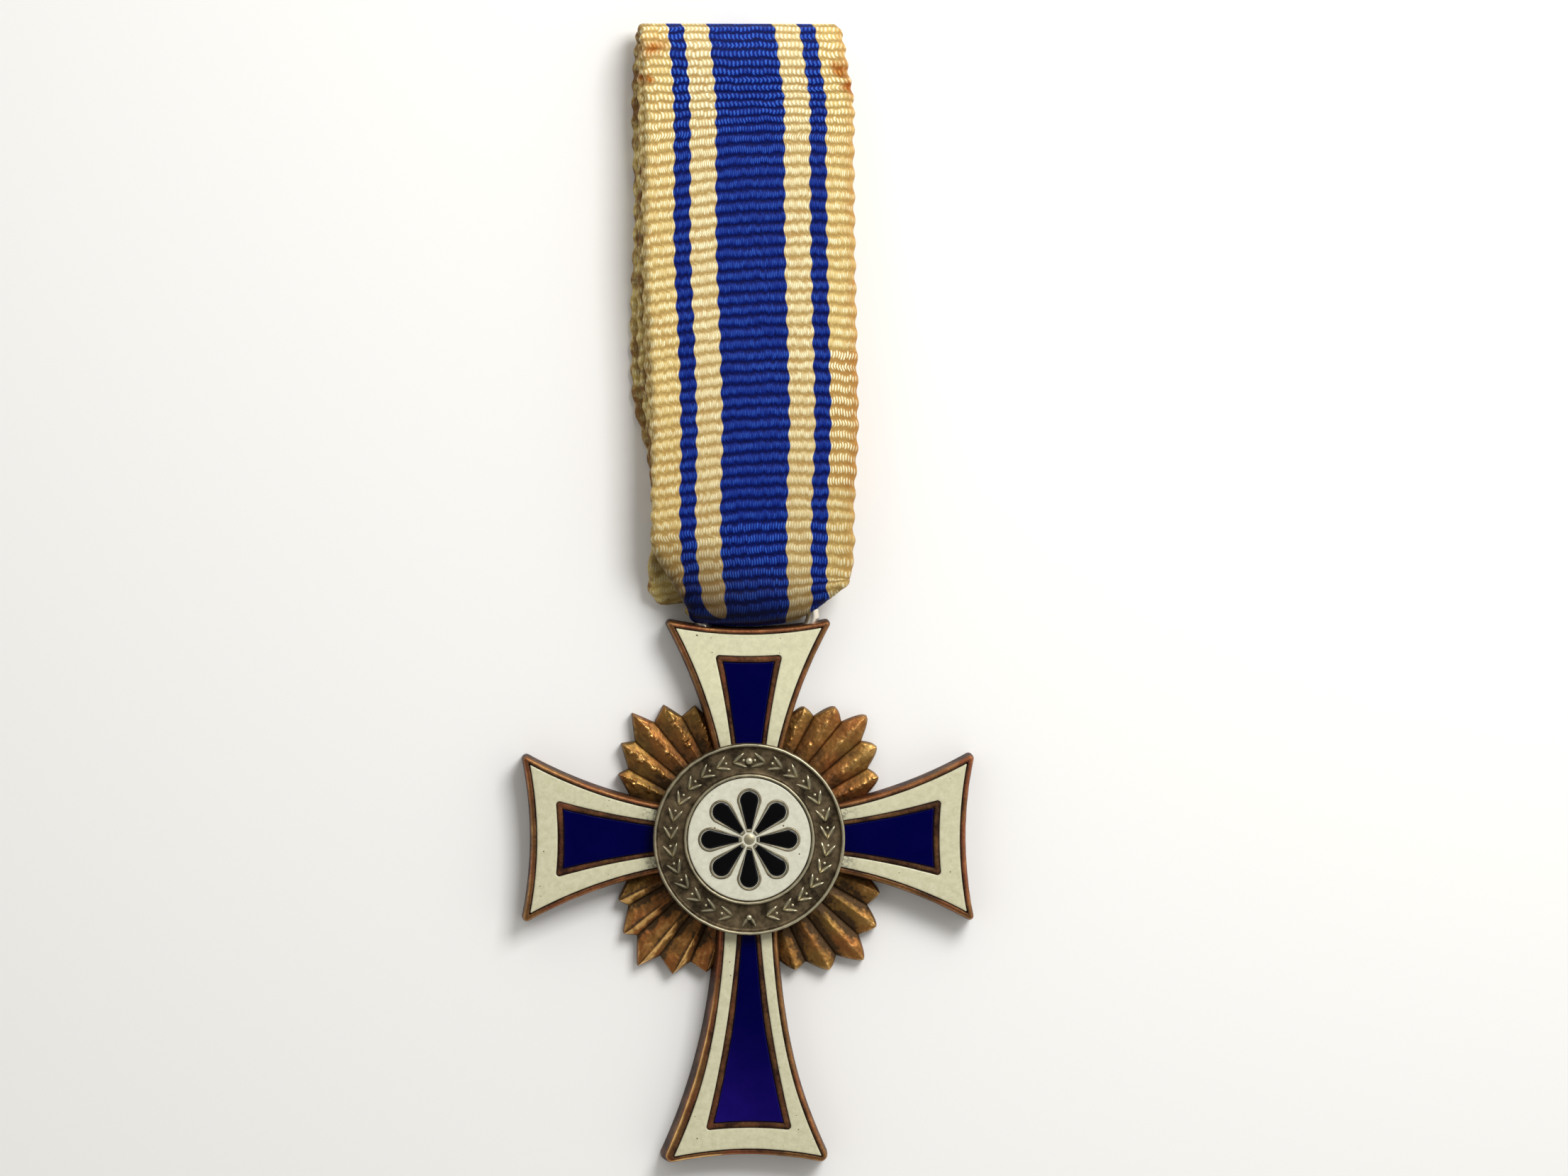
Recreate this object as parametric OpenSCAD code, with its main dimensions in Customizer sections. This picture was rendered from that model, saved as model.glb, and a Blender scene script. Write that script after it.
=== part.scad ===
// Commemorative medal: an enamelled cross lying face up, its striped ribbon folded above it.
// X runs to the right and Y up the medal as it is seen, Z up from the surface that it lies on.
// The origin is in the middle of the cross's flat back, under the medallion.

/* [Cross] */
// Thickness of the arms, from the back to the top of the rims
arm_thick = 2.6; // [2.4:0.1:3]
// Distance from the centre to the middle of the end of a side arm
side_reach = 16.8; // [16.4:0.1:17.4]
// Distance from the centre to the middle of the end of the upper arm
upper_reach = 16.2; // [16:0.1:16.4]
// Distance from the centre to the middle of the end of the lower arm
lower_reach = 24.4; // [24:0.1:25]
// Radius of the hollow curve that ends each arm
end_hollow = 30; // [25:1:40]
// Width of the rim round the white enamel
rim_w = 0.55; // [0.4:0.05:0.6]
// Width of the wall between the white and the blue enamel
cell_wall = 0.3; // [0.2:0.05:0.4]
// Depth of the cells that hold the enamel
cell_depth = 0.7; // [0.5:0.05:1]
// Gap that keeps neighbouring pieces apart
fit_gap = 0.05; // [0.02:0.01:0.08]

/* [Rays] */
// Thickness of the rays along their edges
ray_edge = 1.1; // [0.9:0.1:1.3]
// Height of a ray's ridge above its edge
ray_ridge = 0.6; // [0.3:0.05:0.8]
// Width of a ridge as a share of its ray
ridge_share = 0.8; // [0.6:0.05:0.9]

/* [Medallion] */
// Diameter of the silver medallion
medallion_d = 14.8; // [14.6:0.1:15.2]
// Height of the medallion's rims above the arms
medallion_rise = 1.1; // [0.9:0.05:1.4]
// Width of the medallion's outer rim
outer_rim_w = 0.4; // [0.3:0.05:0.5]
// Outer diameter of the inner rim, round the enamel field
inner_rim_d = 10.1; // [9.8:0.1:10.4]
// Width of the inner rim
inner_rim_w = 0.3; // [0.2:0.05:0.4]
// Depth of the band between the two rims
band_depth = 0.3; // [0.2:0.05:0.4]
// Depth of the well that holds the enamel field
well_depth = 0.6; // [0.5:0.05:0.7]
// Diameter of the hidden post under the medallion
post_d = 2; // [1.6:0.1:2.4]

/* [Rosette] */
// Distance from the centre to the tip of a petal
petal_reach = 3.75; // [3.4:0.05:4]
// Width of a petal at its round end
petal_w = 1.5; // [1.2:0.05:1.6]
// Width of the silver wall round each petal
petal_wall = 0.15; // [0.1:0.05:0.2]
// Diameter of the silver bead in the middle
bead_d = 1.5; // [1.3:0.1:1.7]

/* [Wire loop] */
// Diameter of the loop's wire
wire_d = 1; // [0.9:0.05:1]
// Width of the loop over the wire
loop_w = 11.2; // [11.2:0.1:12]
// Height of the loop over the wire
loop_h = 3.4; // [3.4:0.05:3.6]
// Height of the middle of the wire above the surface
bar_z = 1.7; // [1.7:0.05:1.8]

/* [Ribbon] */
// Thickness of the ribbon
ribbon_t = 1; // [0.9:0.05:1]
// Distance from the cross's centre to the ribbon's top fold
ribbon_top = 63.1; // [60:0.1:66]
// Gap between two layers of the folded ribbon
layer_gap = 0.1; // [0.05:0.01:0.12]

/* [Hidden] */
$fn = 96;

// Outlines of the arms, each drawn pointing right and then turned:
// [name, turn, reach, half-width at root, middle distance, half-width there, tip distance, half-width there]
ROOT_D = 7.4;
ARMS = [
    ["right", 0, side_reach, 2.8, 12.5, 4.3, 17, 6.4],
    ["up", 90, upper_reach, 2.8, 12.5, 4.45, 16.5, 6.35],
    ["left", 180, side_reach, 2.8, 12.5, 4.3, 17, 6.4],
    ["down", 270, lower_reach, 2.36, 17.25, 3.88, 24, 6.3]
];

// Outlines of the blue panels over their walls:
// [half-width at root, middle distance, half-width there, end distance, half-width there]
PANELS = [
    [1.32, 11.1, 1.98, 14.8, 2.9],
    [1.32, 10.8, 1.85, 14.1, 2.53],
    [1.32, 11.1, 1.98, 14.8, 2.9],
    [0.84, 14.7, 1.69, 22.5, 3.27]
];

// Fans of rays between the arms: [turn to the fan's first edge, mirrored, first ray's angle, step]
FANS = [
    [0, false, 24.5, 10.5],
    [180, true, 24.5, 10.5],
    [180, false, 24, 11.75],
    [0, true, 24, 11.75]
];
// Length of each ray of a fan from the side arm on, and of the notches before, between and after them
TIPS = [11.1, 12.15, 13.1, 12.1, 10.95];
NOTCHES = [9.6, 10.6, 11.4, 11.4, 10.6, 9.6];

// Radius of the flat hub under the medallion, and of its bare middle that the enamel cells leave
HUB_R = medallion_d / 2 - 0.5;
ENAMEL_R = HUB_R - 0.3;
CELL_FLOOR = arm_thick - cell_depth;
MEDALLION_TOP = arm_thick + medallion_rise;
WELL_FLOOR = MEDALLION_TOP - well_depth;
POST_DEPTH = 1.6;
// How deep joined solids run into each other, and how far a cutting solid runs past a face
OVERLAP = 0.2;
CLEAR = 1;
// Length past the reach and height of the block that an arm is cut from
CORNER_REACH = 2;
ARM_BOX = 16;
FLAT_FN = 240;
// How far a ray's ridge stops short of its tip
RIDGE_STOP = 0.3;
PETAL_COUNT = 8;
// Where a petal's straight side meets its round end, as a share of the end's radius
SHOULDER = 0.95;
PETAL_END_X = petal_reach - petal_w / 2;
// How far the enamel of the medallion stays below its rims
ENAMEL_DIP = 0.1;

// Distance from the cross's centre to the loop's upper bar, and the ribbon's gap round it
BAR_Y = 18.8;
BAR_GAP = 0.15;
BEND_R = (loop_h - wire_d) / 2;
LOOP_Y = BAR_Y - BEND_R;
BAR_HALF = (loop_w - wire_d) / 2 - BEND_R;

// Heights of the middle of the four layers, from the surface up, and the height that the top folds turn round
LAYER_STEP = ribbon_t + layer_gap;
UNDER_Z = ribbon_t / 2;
SECOND_Z = UNDER_Z + LAYER_STEP;
THIRD_Z = UNDER_Z + 2 * LAYER_STEP;
FRONT_Z = UNDER_Z + 3 * LAYER_STEP;
FOLD_Z = (UNDER_Z + FRONT_Z) / 2;
OUTER_FOLD_R = (FRONT_Z - UNDER_Z) / 2;
INNER_FOLD_R = LAYER_STEP / 2;
FOLD_Y = ribbon_top - OUTER_FOLD_R - ribbon_t / 2;
// Where the two lower layers turn, and the radius of the ribbon's turn round the bar
END_Y = 25;
BAR_TURN_R = wire_d / 2 + BAR_GAP + ribbon_t / 2;
// Half the width of the ribbon's middle, which stays straight where its left edge drops
INNER_X = 3.6;

// The ribbon, from its turn round the bar up the front, down the back and up again.
// Columns of every table: [y, z, left edge, right edge, drop of the left edge]
FRONT_ROWS = [
    [BAR_Y, bar_z + BAR_TURN_R, -5, 6.6, 0],
    [20, 2.9, -5.8, 7.6, 0],
    [21.4, 3.15, -6.4, 7.9, 0],
    [23.5, 3.6, -6.9, 8, 0],
    [26, FRONT_Z, -7.1, 8.1, 0],
    [36, FRONT_Z, -7.4, 8.4, 0],
    [45, FRONT_Z, -7.9, 8.25, 0],
    [54, FRONT_Z, -7.95, 8.05, 0],
    [FOLD_Y, FRONT_Z, -8.1, 7.4, 0]
];
UNDER_ROWS = [
    [FOLD_Y, UNDER_Z, -9.05, 6.95, 0],
    [48, UNDER_Z, -9.1, 6.9, 0],
    [35, UNDER_Z, -9.2, 6.8, 0],
    [30.5, UNDER_Z, -8.1, 7.9, 0],
    [28, UNDER_Z, -7.5, 8.1, 0],
    [END_Y, UNDER_Z, -7.3, 8.2, 0]
];
SECOND_ROWS = [
    [END_Y, SECOND_Z, -7.4, 8.2, 0],
    [30.5, SECOND_Z, -7.7, 8.2, 0],
    [35, SECOND_Z, -8.3, 7.7, 0],
    [48, SECOND_Z, -8.5, 7.5, 0],
    [FOLD_Y, SECOND_Z, -8.5, 7.5, 0]
];
THIRD_ROWS = [
    [FOLD_Y, THIRD_Z, -8.5, 7.5, 0],
    [48, THIRD_Z, -8.2, 7.8, 0],
    [35, THIRD_Z, -7.9, 8.1, 0],
    [27, THIRD_Z, -7.8, 7.9, 0],
    [24.6, THIRD_Z, -7.8, 7.6, 0.4],
    [23, 2.1, -7.8, 7.3, 0.8],
    [21.5, 1.2, -7.7, 7, 1.5],
    [20.4, 0.75, -7.3, 6.4, 1.8],
    [19.7, 0.62, -6.6, 5.8, 1.75],
    [19.2, 0.6, -5.6, 5.2, 1.35],
    [BAR_Y, bar_z - BAR_TURN_R, -4.5, 4.5, 0]
];
// Edges of the ribbon in its turn round the bar: [angle round the bar, left edge, right edge]
BAR_TURN = [[240, -4.25, 4.2], [215, -4.2, 4.2], [180, -4.2, 4.2], [145, -4.2, 4.2], [120, -4.4, 4.5]];
FOLD_STEPS = 6;

// Centre of the circle through three points
function circle_centre(a, b, c) =
    let (
        turn = 2 * (a.x * (b.y - c.y) + b.x * (c.y - a.y) + c.x * (a.y - b.y)),
        sa = a * a,
        sb = b * b,
        sc = c * c
    )
    [
        (sa * (b.y - c.y) + sb * (c.y - a.y) + sc * (a.y - b.y)) / turn,
        (sa * (c.x - b.x) + sb * (a.x - c.x) + sc * (b.x - a.x)) / turn
    ];

// A flared outline pointing right: two side arcs through three points each and a hollow end, all moved in by inset
module flared_plan(root, middle, tip, reach, inset) {
    centre = circle_centre(root, middle, tip);
    side_r = norm(centre - root);
    difference() {
        translate([0, -ARM_BOX / 2]) square([reach + CORNER_REACH, ARM_BOX]);
        for (side = [1, -1])
            translate([centre.x, side * centre.y]) circle(r = side_r + inset, $fn = FLAT_FN);
        translate([reach + end_hollow, 0]) circle(r = end_hollow + inset, $fn = FLAT_FN);
    }
}

module arm_plan(i, inset) {
    arm = ARMS[i];
    flared_plan([ROOT_D, arm[3]], [arm[4], arm[5]], [arm[6], arm[7]], arm[2], inset);
}

module panel_plan(i, inset) {
    panel = PANELS[i];
    reach = panel[3] - panel[4] * panel[4] / (2 * end_hollow);
    flared_plan([ROOT_D, panel[0]], [panel[1], panel[2]], [panel[3], panel[4]], reach, inset);
}

// One fan's outline as a polygon, from the centre out to its tips and notches
function fan_points(fan) = [
    [0, 0],
    for (i = [0:len(NOTCHES) - 1])
        let (
            notch_a = fan[2] + (i - 0.5) * fan[3],
            tip_a = fan[2] + i * fan[3]
        )
        each i < len(TIPS)
            ? [
                NOTCHES[i] * [cos(notch_a), sin(notch_a)],
                TIPS[i] * [cos(tip_a), sin(tip_a)]
            ]
            : [NOTCHES[i] * [cos(notch_a), sin(notch_a)]]
];

// The roof-shaped ridge along one ray
module ray_ridge_solid(reach, notch, half_angle) {
    half_w = notch * tan(half_angle) * ridge_share;
    root_w = HUB_R * tan(half_angle) * ridge_share;
    root_r = HUB_R - OVERLAP;
    intersection() {
        linear_extrude(ray_ridge)
            polygon([
                [root_r, -root_w], [notch, -half_w], [reach - RIDGE_STOP, 0],
                [notch, half_w], [root_r, root_w]
            ]);
        rotate([90, 0, 90])
            linear_extrude(reach)
            polygon([[-half_w, 0], [half_w, 0], [0, ray_ridge]]);
    }
}

module ray_fan(fan) {
    rotate([0, 0, fan[0]]) mirror([0, fan[1] ? 1 : 0, 0]) {
        linear_extrude(ray_edge) polygon(fan_points(fan));
        for (i = [0:len(TIPS) - 1])
            rotate([0, 0, fan[2] + i * fan[3]])
                translate([0, 0, ray_edge])
                ray_ridge_solid(TIPS[i], min(NOTCHES[i], NOTCHES[i + 1]), fan[3] / 2);
    }
}

// Oval loop of round wire, its lower bar sunk in the edge of the upper arm
module wire_loop() {
    translate([0, LOOP_Y, bar_z]) {
        for (side = [1, -1]) {
            translate([-BAR_HALF, side * BEND_R, 0])
                rotate([0, 90, 0])
                cylinder(h = 2 * BAR_HALF, d = wire_d);
            translate([side * BAR_HALF, 0, 0])
                rotate([0, 0, -side * 90])
                rotate_extrude(angle = 180)
                translate([BEND_R, 0])
                circle(d = wire_d);
        }
    }
}

module cross_body() {
    color("#8a5a30") difference() {
        union() {
            for (i = [0:len(ARMS) - 1])
                rotate([0, 0, ARMS[i][1]]) linear_extrude(arm_thick) arm_plan(i, 0);
            cylinder(h = arm_thick, r = HUB_R);
            for (fan = FANS) ray_fan(fan);
            wire_loop();
        }
        for (i = [0:len(ARMS) - 1])
            rotate([0, 0, ARMS[i][1]])
                translate([0, 0, CELL_FLOOR])
                linear_extrude(cell_depth + CLEAR)
                difference() {
                    arm_plan(i, rim_w);
                    difference() {
                        panel_plan(i, 0);
                        panel_plan(i, cell_wall);
                    }
                    circle(r = ENAMEL_R);
                }
        translate([0, 0, arm_thick - POST_DEPTH - fit_gap])
            cylinder(h = POST_DEPTH + CLEAR, d = post_d + 2 * fit_gap);
    }
}

module white_enamel(i) {
    color("#e2e1c8") rotate([0, 0, ARMS[i][1]])
        translate([0, 0, CELL_FLOOR + fit_gap])
        linear_extrude(cell_depth - fit_gap)
        difference() {
            arm_plan(i, rim_w + fit_gap);
            panel_plan(i, -fit_gap);
            circle(r = ENAMEL_R + fit_gap);
        }
}

module blue_enamel(i) {
    color("#0c0478") rotate([0, 0, ARMS[i][1]])
        translate([0, 0, CELL_FLOOR + fit_gap])
        linear_extrude(cell_depth - fit_gap)
        difference() {
            panel_plan(i, cell_wall + fit_gap);
            circle(r = ENAMEL_R + fit_gap);
        }
}

// The round end of a petal that points right
module petal_end(grow) {
    translate([PETAL_END_X, 0]) circle(r = petal_w / 2 + grow);
}

// The straight sides of a petal that points right, which narrow towards the bead
module petal_sides(grow) {
    side_y = SHOULDER * (petal_w / 2 + grow);
    foot_x = bead_d / 2 - grow;
    foot_y = side_y * foot_x / PETAL_END_X;
    polygon([[foot_x, foot_y], [PETAL_END_X, side_y], [PETAL_END_X, -side_y], [foot_x, -foot_y]]);
}

module petal_plan(grow) {
    petal_end(grow);
    petal_sides(grow);
}

module medallion() {
    color("#a8a488") {
        difference() {
            union() {
                translate([0, 0, arm_thick + fit_gap])
                    cylinder(h = medallion_rise - fit_gap, d = medallion_d);
                translate([0, 0, arm_thick - POST_DEPTH])
                    cylinder(h = POST_DEPTH + OVERLAP, d = post_d);
            }
            translate([0, 0, MEDALLION_TOP - band_depth]) difference() {
                cylinder(h = CLEAR, d = medallion_d - 2 * outer_rim_w);
                cylinder(h = CLEAR, d = inner_rim_d);
            }
            translate([0, 0, WELL_FLOOR]) cylinder(h = CLEAR, d = inner_rim_d - 2 * inner_rim_w);
        }
        translate([0, 0, WELL_FLOOR - OVERLAP]) linear_extrude(well_depth + OVERLAP) difference() {
            union() {
                circle(d = bead_d);
                for (i = [1:PETAL_COUNT]) rotate(i * 360 / PETAL_COUNT) petal_plan(petal_wall);
            }
            for (i = [1:PETAL_COUNT]) rotate(i * 360 / PETAL_COUNT) petal_plan(0);
        }
    }
}

module field_enamel() {
    color("#e8e6e0")
        translate([0, 0, WELL_FLOOR + fit_gap])
        linear_extrude(well_depth - ENAMEL_DIP - fit_gap)
        difference() {
            circle(d = inner_rim_d - 2 * inner_rim_w - 2 * fit_gap);
            circle(d = bead_d + 2 * fit_gap);
            for (i = [1:PETAL_COUNT]) rotate(i * 360 / PETAL_COUNT) petal_plan(petal_wall + fit_gap);
        }
}

module petal_enamel(i) {
    fill = well_depth - ENAMEL_DIP - fit_gap;
    color("#101014") rotate([0, 0, i * 360 / PETAL_COUNT])
        translate([0, 0, WELL_FLOOR + fit_gap]) {
            linear_extrude(fill) petal_end(-fit_gap);
            linear_extrude(fill) petal_sides(-fit_gap);
        }
}

// Rows of a turn: the middle of the ribbon goes round a centre from one angle to another
function turn_rows(cy, cz, r, from_a, to_a, from_row, to_row) = [
    for (k = [1:FOLD_STEPS - 1])
        let (
            share = k / FOLD_STEPS,
            a = from_a + (to_a - from_a) * share
        )
        [
            cy + r * cos(a),
            cz + r * sin(a),
            from_row[2] + (to_row[2] - from_row[2]) * share,
            from_row[3] + (to_row[3] - from_row[3]) * share,
            0
        ]
];

function last(rows) = rows[len(rows) - 1];

RIBBON_ROWS = [
    each FRONT_ROWS,
    each turn_rows(FOLD_Y, FOLD_Z, OUTER_FOLD_R, 90, -90, last(FRONT_ROWS), UNDER_ROWS[0]),
    each UNDER_ROWS,
    each turn_rows(END_Y, (UNDER_Z + SECOND_Z) / 2, INNER_FOLD_R, 270, 90, last(UNDER_ROWS), SECOND_ROWS[0]),
    each SECOND_ROWS,
    each turn_rows(FOLD_Y, FOLD_Z, INNER_FOLD_R, -90, 90, last(SECOND_ROWS), THIRD_ROWS[0]),
    each THIRD_ROWS,
    for (t = BAR_TURN) [BAR_Y + BAR_TURN_R * cos(t[0]), bar_z + BAR_TURN_R * sin(t[0]), t[1], t[2], 0]
];

// The four points across the ribbon at one row, on its face or its back
function across(row, offset) = [
    [row[2], row[0] - row[4] + offset.x, row[1] + offset.y],
    [-INNER_X, row[0] + offset.x, row[1] + offset.y],
    [INNER_X, row[0] + offset.x, row[1] + offset.y],
    [row[3], row[0] + offset.x, row[1] + offset.y]
];

// Half a thickness across the path at row i, from the rows before and after it
function half_normal(rows, i) =
    let (
        n = len(rows),
        before = rows[(i + n - 1) % n],
        here = rows[i],
        after = rows[(i + 1) % n],
        a = [here[0] - before[0], here[1] - before[1]],
        b = [after[0] - here[0], after[1] - here[1]],
        along = a / norm(a) + b / norm(b)
    )
    ribbon_t / 2 * [-along.y, along.x] / norm(along);

module ribbon() {
    rows = RIBBON_ROWS;
    count = len(rows);
    points = [
        for (i = [0:count - 1])
            let (half = half_normal(rows, i), top = across(rows[i], half), bottom = across(rows[i], -half))
            each concat(top, [for (k = [3:-1:0]) bottom[k]])
    ];
    color("#d8bc7a") polyhedron(
        points = points,
        faces = [
            for (i = [0:count - 1], k = [0:7])
                let (a = 8 * i + k, b = 8 * i + (k + 1) % 8, next = 8 * ((i + 1) % count))
                each [[a, next + k, b], [b, next + k, next + (k + 1) % 8]]
        ],
        convexity = 6
    );
}

cross_body();
for (i = [0:len(ARMS) - 1]) {
    white_enamel(i);
    blue_enamel(i);
}
medallion();
field_enamel();
for (i = [1:PETAL_COUNT])
    petal_enamel(i);
ribbon();
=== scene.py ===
"""The looks of a worn enamelled cross and its folded striped ribbon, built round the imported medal.

Every piece is drawn in millimetres in the medal's own frame: X to the right and Y up the medal as it is
seen, Z up from the surface that it lies on. placed() turns it to metres when it is done. Materials count
in millimetres too: the scale of a pattern is its number of grains to a millimetre.
"""
from bisect import bisect
from functools import partial
from math import acos, asin, atan2, ceil, copysign, cos, degrees, hypot, pi, radians, sin, sqrt, tan
from types import SimpleNamespace

import bmesh
import bpy
from mathutils import Matrix, Vector, noise


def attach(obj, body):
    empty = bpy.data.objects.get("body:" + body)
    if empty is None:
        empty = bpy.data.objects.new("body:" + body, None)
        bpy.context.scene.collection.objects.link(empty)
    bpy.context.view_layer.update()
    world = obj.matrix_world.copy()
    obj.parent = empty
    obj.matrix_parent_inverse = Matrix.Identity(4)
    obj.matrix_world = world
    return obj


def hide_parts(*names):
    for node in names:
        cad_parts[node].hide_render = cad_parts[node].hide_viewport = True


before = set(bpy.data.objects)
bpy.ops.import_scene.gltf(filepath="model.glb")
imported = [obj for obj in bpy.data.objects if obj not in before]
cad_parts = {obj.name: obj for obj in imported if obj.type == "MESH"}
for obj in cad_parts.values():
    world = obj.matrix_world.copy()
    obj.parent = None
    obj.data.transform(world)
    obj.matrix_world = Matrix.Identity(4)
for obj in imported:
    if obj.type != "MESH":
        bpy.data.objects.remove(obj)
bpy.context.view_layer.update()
scene = bpy.context.scene
MM = 0.001
UP = Vector((0, 0, 1))

# The camera looks down on the middle of the photograph's frame, which is this many millimetres wide, and
# leans a little to the left and up the medal, so that the walls on those sides of the cross show.
VIEW_AIM = (2.74, 19.28, 2)
VIEW_WIDTH = 120.78
VIEW_DISTANCE = 500
LEAN_LEFT, LEAN_UP = 2.5, 2
SENSOR = 36
# The studio is a bright ring round a darker ceiling: the sine of the ceiling's lower and upper edge, its
# share of the ring's light, and how much brighter the ring is towards the upper right
SKY = 0.72
CEILING_EDGES = (0.7, 0.97)
CEILING = 0.14
SKY_SIDE, SKY_LEAN = (0.6, 0.8, 0), 0.5
# One soft lamp: place, size and power in watts
KEY_PLACE, KEY_SIZE, KEY_POWER = (100, 150, 190), 110, 0.5
FLOOR_Z = -0.02
FLOOR_HALF = 1500

# The cross. Radius of the hollow ends of arms and panels, and the distance at which a root's width is given
HOLLOW = 30
ROOT_D = 7.4
# Each arm is drawn pointing right and then turned. Name, turn, reach, half-width at the root, middle
# distance, half-width there, tip distance, half-width there, radius of the corners
ARMS = [
    ("right", 0, 16.8, 2.8, 12.5, 4.3, 17, 6.4, 0.32),
    ("up", 90, 16.2, 2.8, 12.5, 4.45, 16.5, 6.35, 0.3),
    ("left", 180, 16.8, 2.8, 12.5, 4.3, 17, 6.4, 0.32),
    ("down", 270, 24.5, 2.36, 17.25, 3.88, 24.1, 6.35, 0.55),
]
# The wall round each blue panel: half-width at the root, middle distance, half-width there, end distance,
# half-width there
PANELS = {
    "right": (1.32, 11.1, 1.98, 14.8, 2.9),
    "up": (1.32, 10.8, 1.85, 14.1, 2.53),
    "left": (1.32, 11.1, 1.98, 14.8, 2.9),
    "down": (0.84, 14.7, 1.69, 22.5, 3.27),
}
# Where rims, walls and enamel start under the medallion
RIM_ROOT_X, BAND_ROOT_X, BAND_WALL_X, WALL_ROOT_X = 6.2, 6.25, 6.55, 6.6
# Sections through the rim, the wall and the enamel: inset from the outline, height, wear
RIM = [
    (0.20, 0.00, 0.14), (-0.02, 0.05, 0.02), (-0.04, 0.25, -0.05), (-0.02, 1.30, -0.05), (0.01, 1.90, -0.02),
    (0.04, 2.20, 0.08), (0.08, 2.38, 0.28), (0.13, 2.49, 0.45), (0.19, 2.545, 0.38), (0.27, 2.57, 0.20),
    (0.36, 2.58, 0.12), (0.42, 2.56, -0.02), (0.455, 2.50, -0.20), (0.47, 2.20, -0.20),
]
WALL = [
    (-0.03, 2.10, -0.30), (-0.03, 2.50, -0.30), (-0.01, 2.54, -0.18), (0.04, 2.556, -0.02),
    (0.20, 2.56, 0.07), (0.36, 2.556, -0.02), (0.41, 2.54, -0.18), (0.43, 2.50, -0.30),
    (0.43, 2.10, -0.30), (-0.03, 2.10, -0.30),
]
ENAMEL_EDGE = [(0.00, 2.25), (0.00, 2.46), (0.025, 2.505), (0.08, 2.525), (0.20, 2.53)]
RIM_GAP = 0.50
WALL_GAP = 0.02
PANEL_CORNER_R = 0.2
CORNER_MIN = 0.05
# The walls grow narrower towards the medallion by this much, between these distances from it
WALL_TAPER, TAPER_X = 0.13, (8, 15)
# The long arm was struck unevenly. Between these distances its right side comes further in, from the first
# amount by the second, and its left rim grows wider. Its left wall leans out below the last height.
UNEVEN_X = (10, 21)
RIGHT_IN, RIGHT_IN_TIP = 0.1, 0.28
LEFT_RIM_WIDER = 0.24
LEFT_LEAN, LEFT_LEAN_Z = 0.11, 2.3
# A painted highlight runs along the crest of that rim above this height, this strong
GLINT_RIM_Z, GLINT_RIM = 2.44, 0.75
# Small unevenness of struck metal: its size, its grain, and the same for the medallion
STRUCK, STRUCK_GRAIN = 0.018, 0.9
DENTED, DENTED_GRAIN = 0.02, 0.6

# The rays: how far out their tips and the notches beside them lie, the height of their edges, how much
# higher their ridges are, the height and wear of their backs, and half of a tip's width
TIPS = [11.1, 12.15, 13.1, 12.1, 10.95]
NOTCHES = [9.6, 10.6, 11.4, 11.4, 10.6, 9.6]
RAY_EDGE = 1.0
RAY_RISE = 0.4
RAY_BASE = 0.04
RAY_BACK_WEAR = -0.02
RAY_POINT = 0.03
# The round plate that they grow from
HUB_R = 6.7
HUB_HEIGHTS, HUB_WEAR = (0.02, 0.5, 2, 2.55), 0.14
# Dents in the rays: depth, grain, seed
DENTS = [(0.8, 0.7, 0), (0.6, 0.3, 5), (0.4, 0.16, 7)]
# The four fans of rays, each with its own strike and wear
FAN_NAMES = ("upper_right", "upper_left", "lower_left", "lower_right")
FANS = {
    # Turn to the fan's first edge, whether it is mirrored, its first ray's angle and the step between rays
    "turn": (0, 180, 180, 0),
    "mirrored": (False, True, False, True),
    "first": (24.5, 24.5, 24, 24),
    "step": (10.5, 10.5, 11.75, 11.75),
    # Where the ridge lies across each ray (-1 to 1), how full the tips are, and how crisp the ridges are
    "ridge": (0.0, 0.34, 0.4, -0.14),
    "fullness": (0.62, 0.95, 0.9, 0.7),
    "crispness": (0.45, 1.0, 1.0, 0.6),
    # How much crumbly metal the casting left on the ridges, and how much painted shade darkens the face
    # before the ridge
    "crumbs": (0.4, 1.0, 0.1, 0.0),
    "shade": (0.02, 0.2, 0.0, 0.06),
    # Between which distances the patina grows dark towards the medallion, and how sooty the furrows are
    "clean": (9.6, 9.4, 10.2, 12.4),
    "dark": (6.8, 6.8, 6.8, 8.2),
    "soot": (0.06, 0.1, 0.52, 0.6),
    # How bright a painted highlight the ridges carry besides their rubbing, and whether only the face past
    # the ridge has it (1) or both do (0)
    "glint": (0.2, 0.12, 1.0, 0.28),
    "one_sided": (0, 0, 1, 0),
}

# The medallion's section: radius, height, wear
MEDALLION = [
    (0.00, 2.63, 0.0), (7.20, 2.63, 0.0), (7.35, 2.68, 0.0), (7.40, 2.85, 0.0), (7.40, 3.42, 0.05),
    (7.385, 3.56, 0.1), (7.35, 3.64, 0.3), (7.30, 3.685, 0.6), (7.24, 3.69, 0.68), (7.18, 3.66, 0.4),
    (7.12, 3.58, 0.05), (7.07, 3.46, -0.15), (7.01, 3.39, -0.2), (6.90, 3.375, -0.1), (6.60, 3.38, -0.02),
    (6.00, 3.38, 0.02), (5.50, 3.38, -0.02), (5.20, 3.375, -0.12), (5.12, 3.40, -0.2), (5.08, 3.50, -0.05),
    (5.03, 3.63, 0.2), (4.97, 3.69, 0.55), (4.91, 3.70, 0.62), (4.85, 3.67, 0.4), (4.80, 3.58, 0.05),
    (4.77, 3.50, -0.15), (4.77, 3.15, -0.15), (0.00, 3.15, 0.0),
]
DENTED_FROM_R, DENTED_FROM_Z = 4.6, 2.9
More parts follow.
